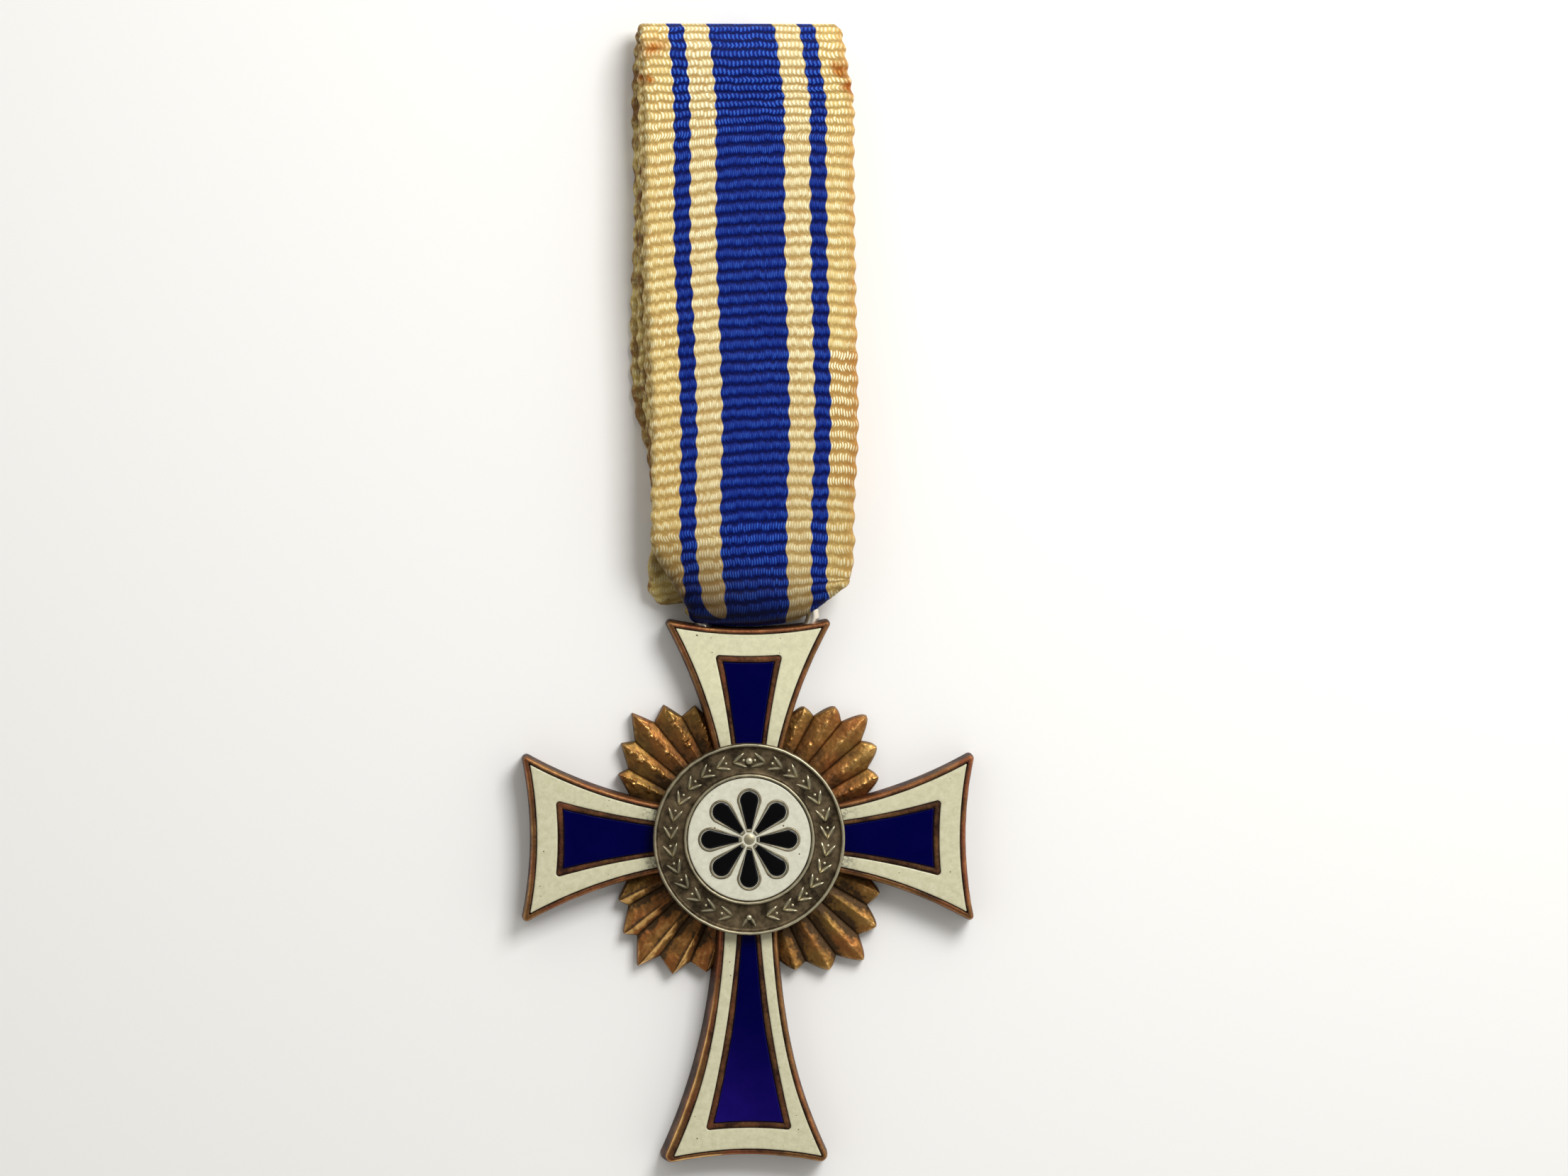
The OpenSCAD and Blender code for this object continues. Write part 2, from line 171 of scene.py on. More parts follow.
# The laurel: length, width and lean of the leaves and of the lowest ones, how far ahead of each fork its
# berry lies, the berry's radius, and the y and radius of the beads at the top and the bottom
RING_GROUND = 3.38
RING_MIDDLE = 6.03
LEAF_PAIRS = 13
LEAF, LOWEST_LEAF = (1.15, 0.36), (0.8, 0.34)
LEAF_LEAN, LOWEST_LEAN = 0.5, 0.55
BERRY_AHEAD, BERRY_R = 0.86, 0.13
RING_BEADS = ((RING_MIDDLE, 0.3), (-RING_MIDDLE, 0.24))
FIELD_R = 4.74
# The round field's enamel lies this much higher than the arms'
FIELD_RISE = 1.05
# The rosette. Sections: share of the wall, height, wear, and the enamel's inset and height
PETAL_COUNT = 8
PETAL_REACH = 3.75
PETAL_W = 1.5
PETAL_WALL = 0.2
PETAL_WALL_SECTION = [
    (1, 3.12, 0), (1, 3.55, -0.1), (0.85, 3.63, 0.2), (0.5, 3.655, 0.42),
    (0.15, 3.63, 0.2), (0, 3.55, -0.1), (0, 3.12, 0), (1, 3.12, 0),
]
PETAL_SECTION = [(0.02, 3.2), (0.02, 3.55), (0.04, 3.6), (0.1, 3.625), (0.25, 3.64)]
# Each petal's wall stands a hair higher than the last one's, so that no two walls' faces coincide
PETAL_STEP = 0.001
BEAD_D = 1.5
BEAD_Z, BEAD_SQUASH = 3.2, 0.62
# Width of a petal's foot, as a share of what straight sides from its round end to the middle would give
SHOULDER = 0.95

# The wire loop: the wire's thickness, its bar's place, half of its width, its middle's x and its foot's y
WIRE_D = 1
BAR_Y, BAR_Z = 18.8, 1.7
LOOP_HALF_W = 4.35
LOOP_X = 0.6
LOOP_FOOT_Y = 15.6
WIRE_WEAR = 0.9

# The ribbon: half of its thickness on a rib and between two ribs, the ribs' spacing, the layers' heights
RIBBON_HALF = 0.46
FURROW_HALF = 0.425
RIB_PITCH = 0.88
LAYER_Z = [0.47, 1.59, 2.71, 3.83]
# The pressed fold at the top: where the outer and the inner turn begin, and how far the outer one reaches
FOLD_Y, INNER_FOLD_Y = 59.2, 60.1
FOLD_REACH = 2.98
# Where the under layer turns back, and the turn round the bar: y, z, radius
END_Y = 25
BAR_TURN = (18.3, 1.95, 1.5)
# Radius of the crease at a tucked edge, and the tuck of an edge that lies open
TUCK_R = 0.46
NO_TUCK = -0.5
# The ribbon's course, from the front over the top fold to the under layer, back up and down to the bar.
# Columns: y, z, left edge, right edge, and in a few rows the left edge's drop and how far both edges are
# tucked behind
FRONT = [
    (20.0, 3.47, -7.10, 7.95, 0, 1.35, 0.50),
    (21.3, 3.53, -7.30, 7.98, 0, 0.75, 0.22),
    (23.0, 3.66, -7.45, 8.02, 0, -0.10, -0.1),
    (26.0, 3.80, -7.50, 8.08),
    (31.0, LAYER_Z[3], -7.45, 8.32),
    (38.0, LAYER_Z[3], -7.66, 8.24),
    (45.0, LAYER_Z[3], -8.00, 8.10),
    (53.0, LAYER_Z[3], -8.00, 8.00),
    (57.0, LAYER_Z[3], -8.05, 7.95),
    (FOLD_Y, LAYER_Z[3], -8.15, 7.55),
]
UNDER = [
    (FOLD_Y, LAYER_Z[0], -8.80, 6.30),
    (48.0, LAYER_Z[0], -8.75, 6.90),
    (38.0, LAYER_Z[0], -9.00, 6.80),
    (33.0, LAYER_Z[0], -8.70, 7.20),
    (30.5, LAYER_Z[0], -8.00, 7.90),
    (28.0, LAYER_Z[0], -7.50, 8.10),
    (END_Y, LAYER_Z[0], -7.30, 8.10),
]
SECOND = [
    (END_Y, LAYER_Z[1], -7.40, 8.10),
    (30.5, LAYER_Z[1], -7.70, 8.10),
    (35.0, LAYER_Z[1], -8.30, 7.60),
    (48.0, LAYER_Z[1], -8.50, 7.40),
    (INNER_FOLD_Y, LAYER_Z[1], -8.50, 6.90),
]
THIRD = [
    (INNER_FOLD_Y, LAYER_Z[2], -8.50, 6.90),
    (48.0, LAYER_Z[2], -8.20, 7.60),
    (35.0, LAYER_Z[2], -7.90, 8.00),
    (27.0, LAYER_Z[2], -7.40, 7.90),
    (24.6, 2.66, -7.45, 7.60, 0.5),
    (23.0, 2.20, -7.60, 7.30, 1.1),
    (21.5, 1.50, -7.75, 7.00, 1.9),
    (20.4, 0.95, -7.50, 6.40, 2.3),
    (19.5, 0.60, -6.80, 5.60, 2.0),
]
# Round the bar: angle, left edge, right edge, left tuck, right tuck
ROUND_BAR = [
    (270, -4.6, 4.6, NO_TUCK, NO_TUCK), (240, -4.5, 4.5, NO_TUCK, NO_TUCK), (210, -5.4, 5.2, 1.0, 1.1),
    (180, -6.4, 7.0, 2.1, 3.1), (150, -6.6, 7.5, 2.25, 3.0), (120, -6.75, 7.8, 2.2, 1.9),
    (90, -6.85, 7.9, 1.95, 0.85),
]
# The ribbon's mesh: rows round a fold, the course's longest step, columns across and how much closer they
# lie at the edges, and lines to a rib where it shows and where it is hidden
TURN_STEPS = 8
SMOOTH_STEP = 0.1
COLUMNS, EDGE_CROWDING = 42, 0.11
SHOWN_STEPS, HIDDEN_STEPS = 8, 4
RIBBON_W = 16
FLOOR_GAP = 0.02
# The ribs bow: they rise by this much towards the right of the middle. Each second rib sways to the left,
# because each thread shows on every second rib.
BOW, BOW_TURN = 1.05, 2.2
SWAY = 0.09
# Between these heights the ribs grow closer together, by up to this share, and straight
CROWDING, CROWDED = 0.26, (52, 59)
# Unevenness along the ribbon and of its lie: size and grain
UNEVEN_RIBS, RIB_GRAIN = 0.07, 1.3
LOOSE_LIE, LIE_GRAIN = 0.05, 4
# The loose flap at the lower left fans out from here. Tucked edges lie together under the front, thinner.
FAN_X = -3.6
TUCK_SQUEEZE = 0.25
TUCK_THINNER = 0.55
# How the lower edge rises to the left and right of its middle, below this height
EDGE_RISE = (0.012, 0.03)
EDGE_RISE_Y, EDGE_RISE_FADE = 20.5, 3
# A pleat near the bar hides the left inner light stripe below this ellipse: its middle, and half of its size
PLEAT = (-2.0, 19.3)
PLEAT_HALF = (1.75, 2.3)
# Edges of the stripes, as shares of the ribbon's width from its middle out
STRIPES = (0.1635, 0.286, 0.3635)
STRIPES_MIDDLE = 0.503
STRIPE_BLUR = 0.002
# Where along each rib the painted highlight is strongest, from its lower edge at 0 to its upper edge at 1
RIB_LIGHT = 0.6
# Threads across the ribbon, and the bundles that they make at the top fold, forming between these ribs.
# Before the first open rib, past the fold and in a rubbed patch on the right outer stripe, from rib to rib,
# they are bundled by this share.
THREADS, BUNDLES = 118, 50
FIRST_OPEN, TO_FOLD, FOLD_END = 4, (33, 41), 54
RUBBED_RIBS = (7, 19)
BUNDLED = 0.62
# Stains: millimetres from the left edge, the y that they lie at on the front, radius, strength
STAINS = [
    (1.0, 60.8, 1.5, 0.8), (0.4, 58.3, 0.7, 1.0), (15.4, 59.0, 1.0, 1.0), (15.7, 57.6, 0.9, 1.0),
    (14.9, 59.4, 0.6, 0.7),
]


def srgb(code):
    """A hex colour as the linear colour that a shader takes."""
    parts = [int(code[k : k + 2], 16) / 255 for k in (1, 3, 5)]
    return (*[c / 12.92 if c <= 0.04045 else ((c + 0.055) / 1.055) ** 2.4 for c in parts], 1)


def add(tree, kind, *inputs, **settings):
    """Adds a shader node. Its inputs are values, or the nodes or sockets that drive them, in the order of
    its sockets, or in one dictionary by name or number. A map range takes its value, froms and tos."""
    made = tree.nodes.new("ShaderNode" + kind)
    for name, value in settings.items():
        setattr(made, name, value)
    named = inputs[0] if inputs and isinstance(inputs[0], dict) else dict(enumerate(inputs))
    for socket, value in named.items():
        if isinstance(value, bpy.types.Node):
            value = next(s for s in value.outputs if s.enabled)
        if isinstance(value, bpy.types.NodeSocket):
            tree.links.new(value, made.inputs[socket])
        else:
            made.inputs[socket].default_value = value
    return made


def new_material(name):
    """An empty material, and the function that adds nodes to it."""
    made = bpy.data.materials.new(name)
    made.use_nodes = True
    made.node_tree.nodes.clear()
    return made, partial(add, made.node_tree)


def tombak(name, dark, red, olive, bright):
    """Tombak, struck and fire-gilt long ago: dull brown patina in the hollows, warm metal where it wore."""
    material, node = new_material(name)
    place = node("TexCoord").outputs["Object"]
    blotches = node("TexNoise", {"Vector": place, "Scale": 0.65 / MM, "Detail": 5, "Roughness": 0.6})
    grains = node("TexNoise", {"Vector": place, "Scale": 4.2 / MM, "Detail": 3, "Roughness": 0.6})
    hues = node("TexNoise", {"Vector": place, "Scale": 0.23 / MM, "Detail": 3})
    rubbed = node("Attribute", attribute_name="wear").outputs["Fac"]
    for pattern, reach in ((blotches, 0.17), (grains, 0.06)):
        uneven = node("MapRange", pattern, 0.3, 0.7, -reach, reach)
        rubbed = node("Math", rubbed, uneven, operation="ADD")
    low = node("MapRange", rubbed, -0.1, 0.38)
    high = node("MapRange", rubbed, 0.42, 1.0)
    hue = node("MapRange", hues, 0.4, 0.6)
    colour = node("Mix", {0: hue, 6: srgb(red), 7: srgb(olive)}, data_type="RGBA")
    colour = node("Mix", {0: low, 6: srgb(dark), 7: colour}, data_type="RGBA")
    colour = node("Mix", {0: high, 6: colour, 7: srgb(bright)}, data_type="RGBA")
    metal = node("MapRange", rubbed, 0.0, 0.5, 0.8, 0.95)
    roughness = node("MapRange", rubbed, 0.0, 0.9, 0.6, 0.34)
    relief = node("Bump", {"Strength": 0.5, "Distance": 0.07 * MM, "Height": grains})
    look = {"Base Color": colour, "Metallic": metal, "Roughness": roughness, "Normal": relief}
    shader = node("BsdfPrincipled", look)
    node("OutputMaterial", shader)
    return material


def silver(name, dark, ground, bright):
    """Fine silver, blackened in an oxidising bath and rubbed back on its raised lines."""
    material, node = new_material(name)
    place = node("TexCoord").outputs["Object"]
    blotches = node("TexNoise", {"Vector": place, "Scale": 1 / MM, "Detail": 6, "Roughness": 0.68})
    grains = node("TexNoise", {"Vector": place, "Scale": 6 / MM, "Detail": 3, "Roughness": 0.6})
    wear = node("Attribute", attribute_name="wear").outputs["Fac"]
    uneven = node("MapRange", blotches, 0.3, 0.7, -0.1, 0.1)
    rubbed = node("Math", wear, uneven, operation="ADD")
    share = node("MapRange", rubbed, 0.05, 0.85)
    patches = node("MapRange", blotches, 0.38, 0.66)
    colour = node("Mix", {0: patches, 6: srgb(dark), 7: srgb(ground)}, data_type="RGBA")
    colour = node("Mix", {0: share, 6: colour, 7: srgb(bright)}, data_type="RGBA")
    roughness = node("MapRange", rubbed, 0.1, 0.9, 0.6, 0.28)
    relief = node("Bump", {"Strength": 0.3, "Distance": 0.03 * MM, "Height": grains})
    look = {"Base Color": colour, "Metallic": 0.9, "Roughness": roughness, "Normal": relief}
    shader = node("BsdfPrincipled", look)
    node("OutputMaterial", shader)
    return material


def white_enamel(name, body, upper, cloud):
    """Opaque vitreous enamel, fired glossy: a little cloudy, painted paler up the medal where the light
    falls brighter, with dirty pinholes.
    """
    material, node = new_material(name)
    place = node("TexCoord").outputs["Object"]
    height = node("SeparateXYZ", place).outputs["Y"]
    # A paler tone painted up the medal stands for brighter light there, and calms the clouds
    rise = node("MapRange", height, 6 * MM, 12 * MM)
    clouds = node("TexNoise", {"Vector": place, "Scale": 2 / MM, "Detail": 6, "Roughness": 0.75})
    cloudy = node("MapRange", clouds, 0.38, 0.68)
    calm = node("MapRange", rise, 0, 1, 1.0, 0.6)
    cloudy = node("Math", cloudy, calm, operation="MULTIPLY")
    # Pinholes of many sizes
    ragged = node("TexNoise", {"Vector": place, "Scale": 5 / MM, "Detail": 2})
    cells = node("TexVoronoi", {"Vector": place, "Scale": 0.76 / MM}, voronoi_dimensions="2D")
    chance = node("SeparateColor", cells.outputs["Color"])
    size = node("MapRange", chance, 0.55, 1.0, 0.0, 0.095)
    size = node("Math", size, ragged, operation="MULTIPLY")
    hole = node("Math", cells.outputs["Distance"], size, operation="LESS_THAN")
    # Grey-blue smudges where the side arms meet the medallion
    far = node("VectorMath", place, operation="LENGTH").outputs["Value"]
    near = node("MapRange", far, 7.6 * MM, 9.2 * MM, 1.0, 0.0)
    beside = node("VectorMath", place, (1, 0, 0), operation="MULTIPLY")
    beside = node("VectorMath", beside, operation="LENGTH").outputs["Value"]
    beside = node("MapRange", beside, 6 * MM, 6.4 * MM)
    smudge = node("MapRange", ragged, 0.45, 0.62)
    for share in (near, beside):
        smudge = node("Math", smudge, share, operation="MULTIPLY")
    colour = srgb(body)
    for share, over in ((rise, upper), (cloudy, cloud), (hole, "#604c34"), (smudge, "#6c6a62")):
        colour = node("Mix", {0: share, 6: colour, 7: srgb(over)}, data_type="RGBA")
    waves = node("TexNoise", {"Vector": place, "Scale": 0.26 / MM, "Detail": 1})
    relief = node("Bump", {"Strength": 0.25, "Distance": 0.1 * MM, "Height": waves})
    glaze = {"Roughness": 0.16, "IOR": 1.52, "Specular IOR Level": 0.35}
    shader = node("BsdfPrincipled", {"Base Color": colour, "Normal": relief, **glaze})
    node("OutputMaterial", shader)
    return material


def blue_enamel():
    """Cobalt enamel, clear enough to lighten where it lies thin towards the wide ends of the arms."""
    material, node = new_material("cobalt_enamel")
    place = node("TexCoord").outputs["Object"]
    far = node("VectorMath", place, operation="LENGTH").outputs["Value"]
    thin = node("MapRange", far, 14 * MM, 23 * MM)
    aside = node("SeparateXYZ", place).outputs["X"]
    left = node("MapRange", aside, 1 * MM, -3 * MM, 0.6, 1.1)
    thin = node("Math", thin, left, operation="MULTIPLY")
    clouds = node("TexNoise", {"Vector": place, "Scale": 0.5 / MM, "Detail": 6, "Roughness": 0.72})
    cloudy = node("MapRange", clouds, 0.35, 0.7, -0.1, 0.22)
    strength = node("Math", thin, 0.3, operation="ADD")
    share = node("Math", cloudy, strength, thin, operation="MULTIPLY_ADD", use_clamp=True)
    colour = node("Mix", {0: share, 6: srgb("#00003a"), 7: srgb("#1a0c64")}, data_type="RGBA")
    waves = node("TexNoise", {"Vector": place, "Scale": 0.3 / MM, "Detail": 1})
    relief = node("Bump", {"Strength": 0.25, "Distance": 0.1 * MM, "Height": waves})
    glaze = {"Roughness": 0.12, "IOR": 1.52, "Specular IOR Level": 0.12}
    shader = node("BsdfPrincipled", {"Base Color": colour, "Normal": relief, **glaze})
    node("OutputMaterial", shader)
    return material


def black_enamel():
    """Black enamel, fired glossy in the rosette's cells."""
    material, node = new_material("black_enamel")
    place = node("TexCoord").outputs["Object"]
    clouds = node("TexNoise", {"Vector": place, "Scale": 0.9 / MM, "Detail": 4})
    colour = node("Mix", {0: clouds, 6: srgb("#020203"), 7: srgb("#08080a")}, data_type="RGBA")
    glaze = {"Roughness": 0.12, "IOR": 1.52, "Specular IOR Level": 0.3}
    shader = node("BsdfPrincipled", {"Base Color": colour, **glaze})
    node("OutputMaterial", shader)
    return material


def grosgrain():
    """Ribbed ribbon of silk over cotton: painted highlights stand for the floats' lustre on the ribs'
    crowns, painted shade for the dull furrows between them.

    Its UV map runs across the ribbon from 0 to 1 and along it by one for each rib. Silk threads, about eight
    to a millimetre, are too fine to show, so each float stands for a bundle of them.
    """
    material, node = new_material("striped_grosgrain")
    uv = node("UVMap", uv_map="weave").outputs["UV"]
    parts = node("SeparateXYZ", uv)
    across, along = parts.outputs["X"], parts.outputs["Y"]
    place = node("TexCoord").outputs["Object"]
    spot = node("SeparateXYZ", place)
    fibres = node("TexNoise", {"Vector": place, "Scale": 7 / MM, "Detail": 3, "Roughness": 0.7})
    worn = node("TexNoise", {"Vector": place, "Scale": 0.6 / MM, "Detail": 4, "Roughness": 0.65})
    number = node("Math", along, operation="FLOOR")
    inside = node("Math", along, operation="FRACT")
    opened, folded, patch_start, patch_end = (
        node("Math", number, rib - 0.5, operation="GREATER_THAN")
        for rib in (FIRST_OPEN, FOLD_END, *RUBBED_RIBS)
    )
    right = node("Math", across, STRIPES_MIDDLE + STRIPES[2], operation="GREATER_THAN")
    patch = node("Math", patch_start, patch_end, operation="SUBTRACT")
    patch = node("Math", patch, right, operation="MULTIPLY")
    # How coarse the bundles are, from 0 to 1
    to_fold = node("MapRange", number, *TO_FOLD)
    coarse = node("Math", to_fold, BUNDLED, operation="ADD")
    for share, change in ((opened, -BUNDLED), (folded, BUNDLED - 1), (patch, BUNDLED)):
        coarse = node("Math", share, change, coarse, operation="MULTIPLY_ADD")
    # Silk warp threads show on every second rib, so that the floats of a rib lie between those of the next
    parity = node("Math", number, 2.0, operation="FLOORED_MODULO")
    slant = node("MapRange", parity, 0, 1, -0.35, 0.5)
    slant = node("Math", inside, slant, operation="MULTIPLY")
    lean = node("Math", number, 0.5, slant, operation="MULTIPLY_ADD")
    drift = node("TexNoise", {"Vector": uv, "Scale": 1.3, "Detail": 2})
    lean = node("Math", drift, 1.6, lean, operation="MULTIPLY_ADD")
    threads = node("MapRange", coarse, 0, 1, THREADS, BUNDLES)
    thread = node("Math", across, threads, lean, operation="MULTIPLY_ADD")
    line = node("Math", thread, operation="FLOOR")
    round_thread = node("Math", thread, operation="FRACT")
    round_thread = node("Math", round_thread, pi, operation="MULTIPLY")
    round_thread = node("Math", round_thread, operation="SINE")
    # Each float starts a little higher or lower than the ones beside it
    cell = node("CombineXYZ", line, 0.5)
    start = node("TexWhiteNoise", cell, noise_dimensions="2D").outputs["Value"]
    start = node("MapRange", start, 0, 1, -0.1 - RIB_LIGHT, 0.1 - RIB_LIGHT)
    uneven = node("MapRange", worn, 0.25, 0.75, -0.12, 0.12)
    phase = along
    for shift in (uneven, start):
        phase = node("Math", phase, shift, operation="ADD")
    phase = node("Math", phase, 2 * pi, operation="MULTIPLY")
    # crown marks the band of painted light on each rib, centred at RIB_LIGHT rather than at the rib's true
    # crown
    crown = node("Math", phase, operation="COSINE")
    crown = node("MapRange", crown, -1, 1)
    # A float shows as a painted highlight, a bright grain of rice, some brighter than others, and few in the
    # right selvedge
    slim = node("MapRange", coarse, 0, 1, 0.9, 1.8)
    tall = node("MapRange", coarse, 0, 1, 0.9, 0.5)
    grain = node("Math", round_thread, slim, operation="POWER")
    grain_end = node("Math", crown, tall, operation="POWER")
    grain = node("Math", grain, grain_end, operation="MULTIPLY")
    painted_highlight = node("MapRange", grain, 0.38, 0.8, interpolation_type="SMOOTHSTEP")
    cell = node("CombineXYZ", line, number)
    chance = node("TexWhiteNoise", cell, noise_dimensions="2D").outputs["Value"]
    strength = node("MapRange", chance, 0, 1, 0.2, 1.0)
    strength = node("Math", coarse, 0.35, strength, operation="MULTIPLY_ADD")
    # Patches where the painted sheen is stronger or weaker
    glossy = node("MapRange", worn, 0.35, 0.65, 0.6, 1.5)
    strength = node("Math", strength, glossy, operation="MULTIPLY")
    strength = node("Math", patch, 0.5, strength, operation="MULTIPLY_ADD")
    selvedge = node("MapRange", across, 0.945, 0.985)
    bare = node("Math", selvedge, -0.7, 1.0, operation="MULTIPLY_ADD")
    strength = node("Math", strength, bare, operation="MULTIPLY")
    painted_highlight = node("Math", painted_highlight, strength, operation="MULTIPLY", use_clamp=True)
    # The rib's sides, roughened by fibres, carry painted shade from the furrow up to the band of painted
    # light
    body = node("Math", round_thread, 0.25, 0.75, operation="MULTIPLY_ADD")
    body = node("Math", body, crown, operation="MULTIPLY")
    speckle = node("MapRange", fibres, 0.3, 0.7, -0.3, 0.3)
    painted_rib_shading = node("Math", body, speckle, operation="ADD")
    painted_rib_shading = node("MapRange", painted_rib_shading, -0.1, 0.5, interpolation_type="SMOOTHSTEP")
    # Stripes
    aside = node("Math", across, STRIPES_MIDDLE, operation="SUBTRACT")
    aside = node("Math", aside, operation="ABSOLUTE")
    inner, thin, outer = (
        node("MapRange", aside, edge - STRIPE_BLUR, edge + STRIPE_BLUR) for edge in STRIPES
    )
    middle = node("Math", 1.0, inner, operation="SUBTRACT")
    thin = node("Math", thin, outer, operation="SUBTRACT")
    blue = node("Math", middle, thin, operation="ADD", use_clamp=True)
    # The pleat near the bar turns the end of the left inner light stripe blue
    sizes = [1 / (half * MM) for half in PLEAT_HALF]
    shifts = [-at / half for at, half in zip(PLEAT, PLEAT_HALF)]
    from_pleat = node("Mapping", {"Vector": place, "Location": (*shifts, 0), "Scale": (*sizes, 0)})
    way = node("SeparateXYZ", from_pleat)
    pleat = node("VectorMath", from_pleat, operation="LENGTH").outputs["Value"]
    pleat = node("MapRange", pleat, 0.98, 1.02)
    for value, limit, test in (
        (way.outputs["Y"], 0.0, "LESS_THAN"),
        (way.outputs["X"], 0.4, "LESS_THAN"),
        (across, STRIPES_MIDDLE - STRIPES[2], "GREATER_THAN"),
    ):
        within = node("Math", value, limit, operation=test)
        pleat = node("Math", pleat, within, operation="MULTIPLY")
    blue = node("Math", blue, pleat, operation="MAXIMUM")
    # Tan grounds, a browner tone in patches towards the bar, painted shade that makes the layers below
    # duller and greener, and brown stains on their selvedges
    tan_ground = node("MapRange", worn, 0.46, 0.66, 0, 0.32)
    for share, change in ((patch, 0.45), (selvedge, 0.5)):
        tan_ground = node("Math", share, change, tan_ground, operation="MULTIPLY_ADD")
    # Darker and browner towards the bar, in patches
    browner_towards_bar = node("MapRange", spot.outputs["Y"], 38 * MM, 20 * MM, 0.0, 0.75)
    browner_towards_bar = node("Math", browner_towards_bar, worn, operation="MULTIPLY")
    # Painted shade on the layers under the front; the brown stains keep to it too
    below = node("MapRange", spot.outputs["Z"], 3.4 * MM, 2.2 * MM, 0.0, 0.3)
    edges = node("MapRange", aside, 0.42, 0.5, 0.25, 1)
    soiled = node("MapRange", worn, 0.42, 0.58, 0, 3.2)
    for share in (below, edges):
        soiled = node("Math", soiled, share, operation="MULTIPLY")
    # Each colour runs from painted shade in the furrow over the rib's side to a painted highlight on the
    # float at its crown
    beige = srgb("#b09257")
    silk = node("Mix", {0: outer, 6: srgb("#d4be88"), 7: srgb("#d6b972")}, data_type="RGBA")
    for share, over in (
        (painted_rib_shading, silk),
        (tan_ground, srgb("#ac7a3c")),
        (painted_highlight, srgb("#fffad0")),
        (browner_towards_bar, srgb("#94743a")),
        (below, srgb("#aea462")),
        (soiled, srgb("#6e4620")),
    ):
        beige = node("Mix", {0: share, 6: beige, 7: over}, data_type="RGBA")
    # The navy's floats get a softer painted highlight
    soft = node("MapRange", coarse, 0, 1, 0.55, 0.9)
    soft = node("Math", painted_highlight, soft, operation="MULTIPLY")
    navy = srgb("#00063e")
    for share, over in ((painted_rib_shading, "#041c72"), (soft, "#3260c2")):
        navy = node("Mix", {0: share, 6: navy, 7: srgb(over)}, data_type="RGBA")
    colour = node("Mix", {0: blue, 6: beige, 7: navy}, data_type="RGBA")
    # Painted shade greys the front's foot, where it turns down into the loop, and rust has stained both
    # corners at the top
    front = node("MapRange", spot.outputs["Z"], 1.8 * MM, 2.6 * MM)
    foot = node("VectorMath", place, (0.28, 1, 0), operation="DOT_PRODUCT").outputs["Value"]
    foot = node("MapRange", foot, 22.5 * MM, 17.2 * MM, 0, front)
    stain = node("Attribute", attribute_name="stain").outputs["Fac"]
    uneven = node("MapRange", worn, 0.3, 0.6, 0, 1.6)
    stain = node("Math", stain, uneven, operation="MULTIPLY", use_clamp=True)
    for share, over in ((foot, "#847c80"), (stain, "#cc9258")):
        colour = node("Mix", {0: share, 6: colour, 7: srgb(over)}, data_type="RGBA", blend_type="MULTIPLY")
    height = node("Math", fibres, 0.6, body, operation="MULTIPLY_ADD")
    relief = node("Bump", {"Strength": 0.7, "Distance": 0.06 * MM, "Height": height})
    look = {"Base Color": colour, "Roughness": 0.5, "Specular IOR Level": 0.1, "Normal": relief}
    shader = node("BsdfPrincipled", look)
    node("OutputMaterial", shader)
    return material


def paper():
    """The floor's matt paper, a little warm."""
    material, node = new_material("pale_floor")
    shader = node("BsdfPrincipled", {"Base Color": srgb("#f4f3f1"), "Roughness": 0.9})
    node("OutputMaterial", shader)
    return material


def placed(bm, name, material):
    """Turns a bmesh drawn in millimetres into an object."""
    bmesh.ops.scale(bm, vec=(MM, MM, MM), verts=bm.verts)
    mesh = bpy.data.meshes.new(name)
    bm.to_mesh(mesh)
    bm.free()
    mesh.materials.append(material)
    made = bpy.data.objects.new(name, mesh)
    scene.collection.objects.link(made)
    return made


def piece(bm, name, material, slot, *nodes):
    """A finished piece that stands for some CAD nodes."""
    bmesh.ops.recalc_face_normals(bm, faces=bm.faces)
    for face in bm.faces:
        face.smooth = abs(face.normal.z) < 0.99999
    made = placed(bm, name, material)
    made.data.set_sharp_from_angle(angle=radians(55))
    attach(made, "root")
    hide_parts(*nodes)
    return made


def wobble(place, grain, seed=0):
    """Noise from -1 to 1 that changes over a grain's length in millimetres."""
    depth = place[2] / grain if len(place) > 2 else 0
    return noise.noise(Vector((place[0] / grain + seed, place[1] / grain, depth)))


def ease(value, start, end):
    """0 at start and 1 at end, with a smooth way between."""
    share = min(max((value - start) / (end - start), 0), 1)
    return share * share * (3 - 2 * share)


def circle_through(a, b, c):
    """Centre and radius of the circle through three points."""
    turn = 2 * (a.x * (b.y - c.y) + b.x * (c.y - a.y) + c.x * (a.y - b.y))
    sa, sb, sc = a.length_squared, b.length_squared, c.length_squared
    x = (sa * (b.y - c.y) + sb * (c.y - a.y) + sc * (a.y - b.y)) / turn
    y = (sa * (c.x - b.x) + sb * (a.x - c.x) + sc * (b.x - a.x)) / turn
    centre = Vector((x, y))
    return centre, (centre - a).length


def arc(centre, radius, start, end, steps):
    """Points on a circle from one angle to another, with the last one left out."""
    turns = (start + (end - start) * k / steps for k in range(steps))
    return [centre + radius * Vector((cos(t), sin(t))) for t in turns]


def circle(radius, sides):
    return arc(Vector((0, 0)), radius, 0, 2 * pi, sides)


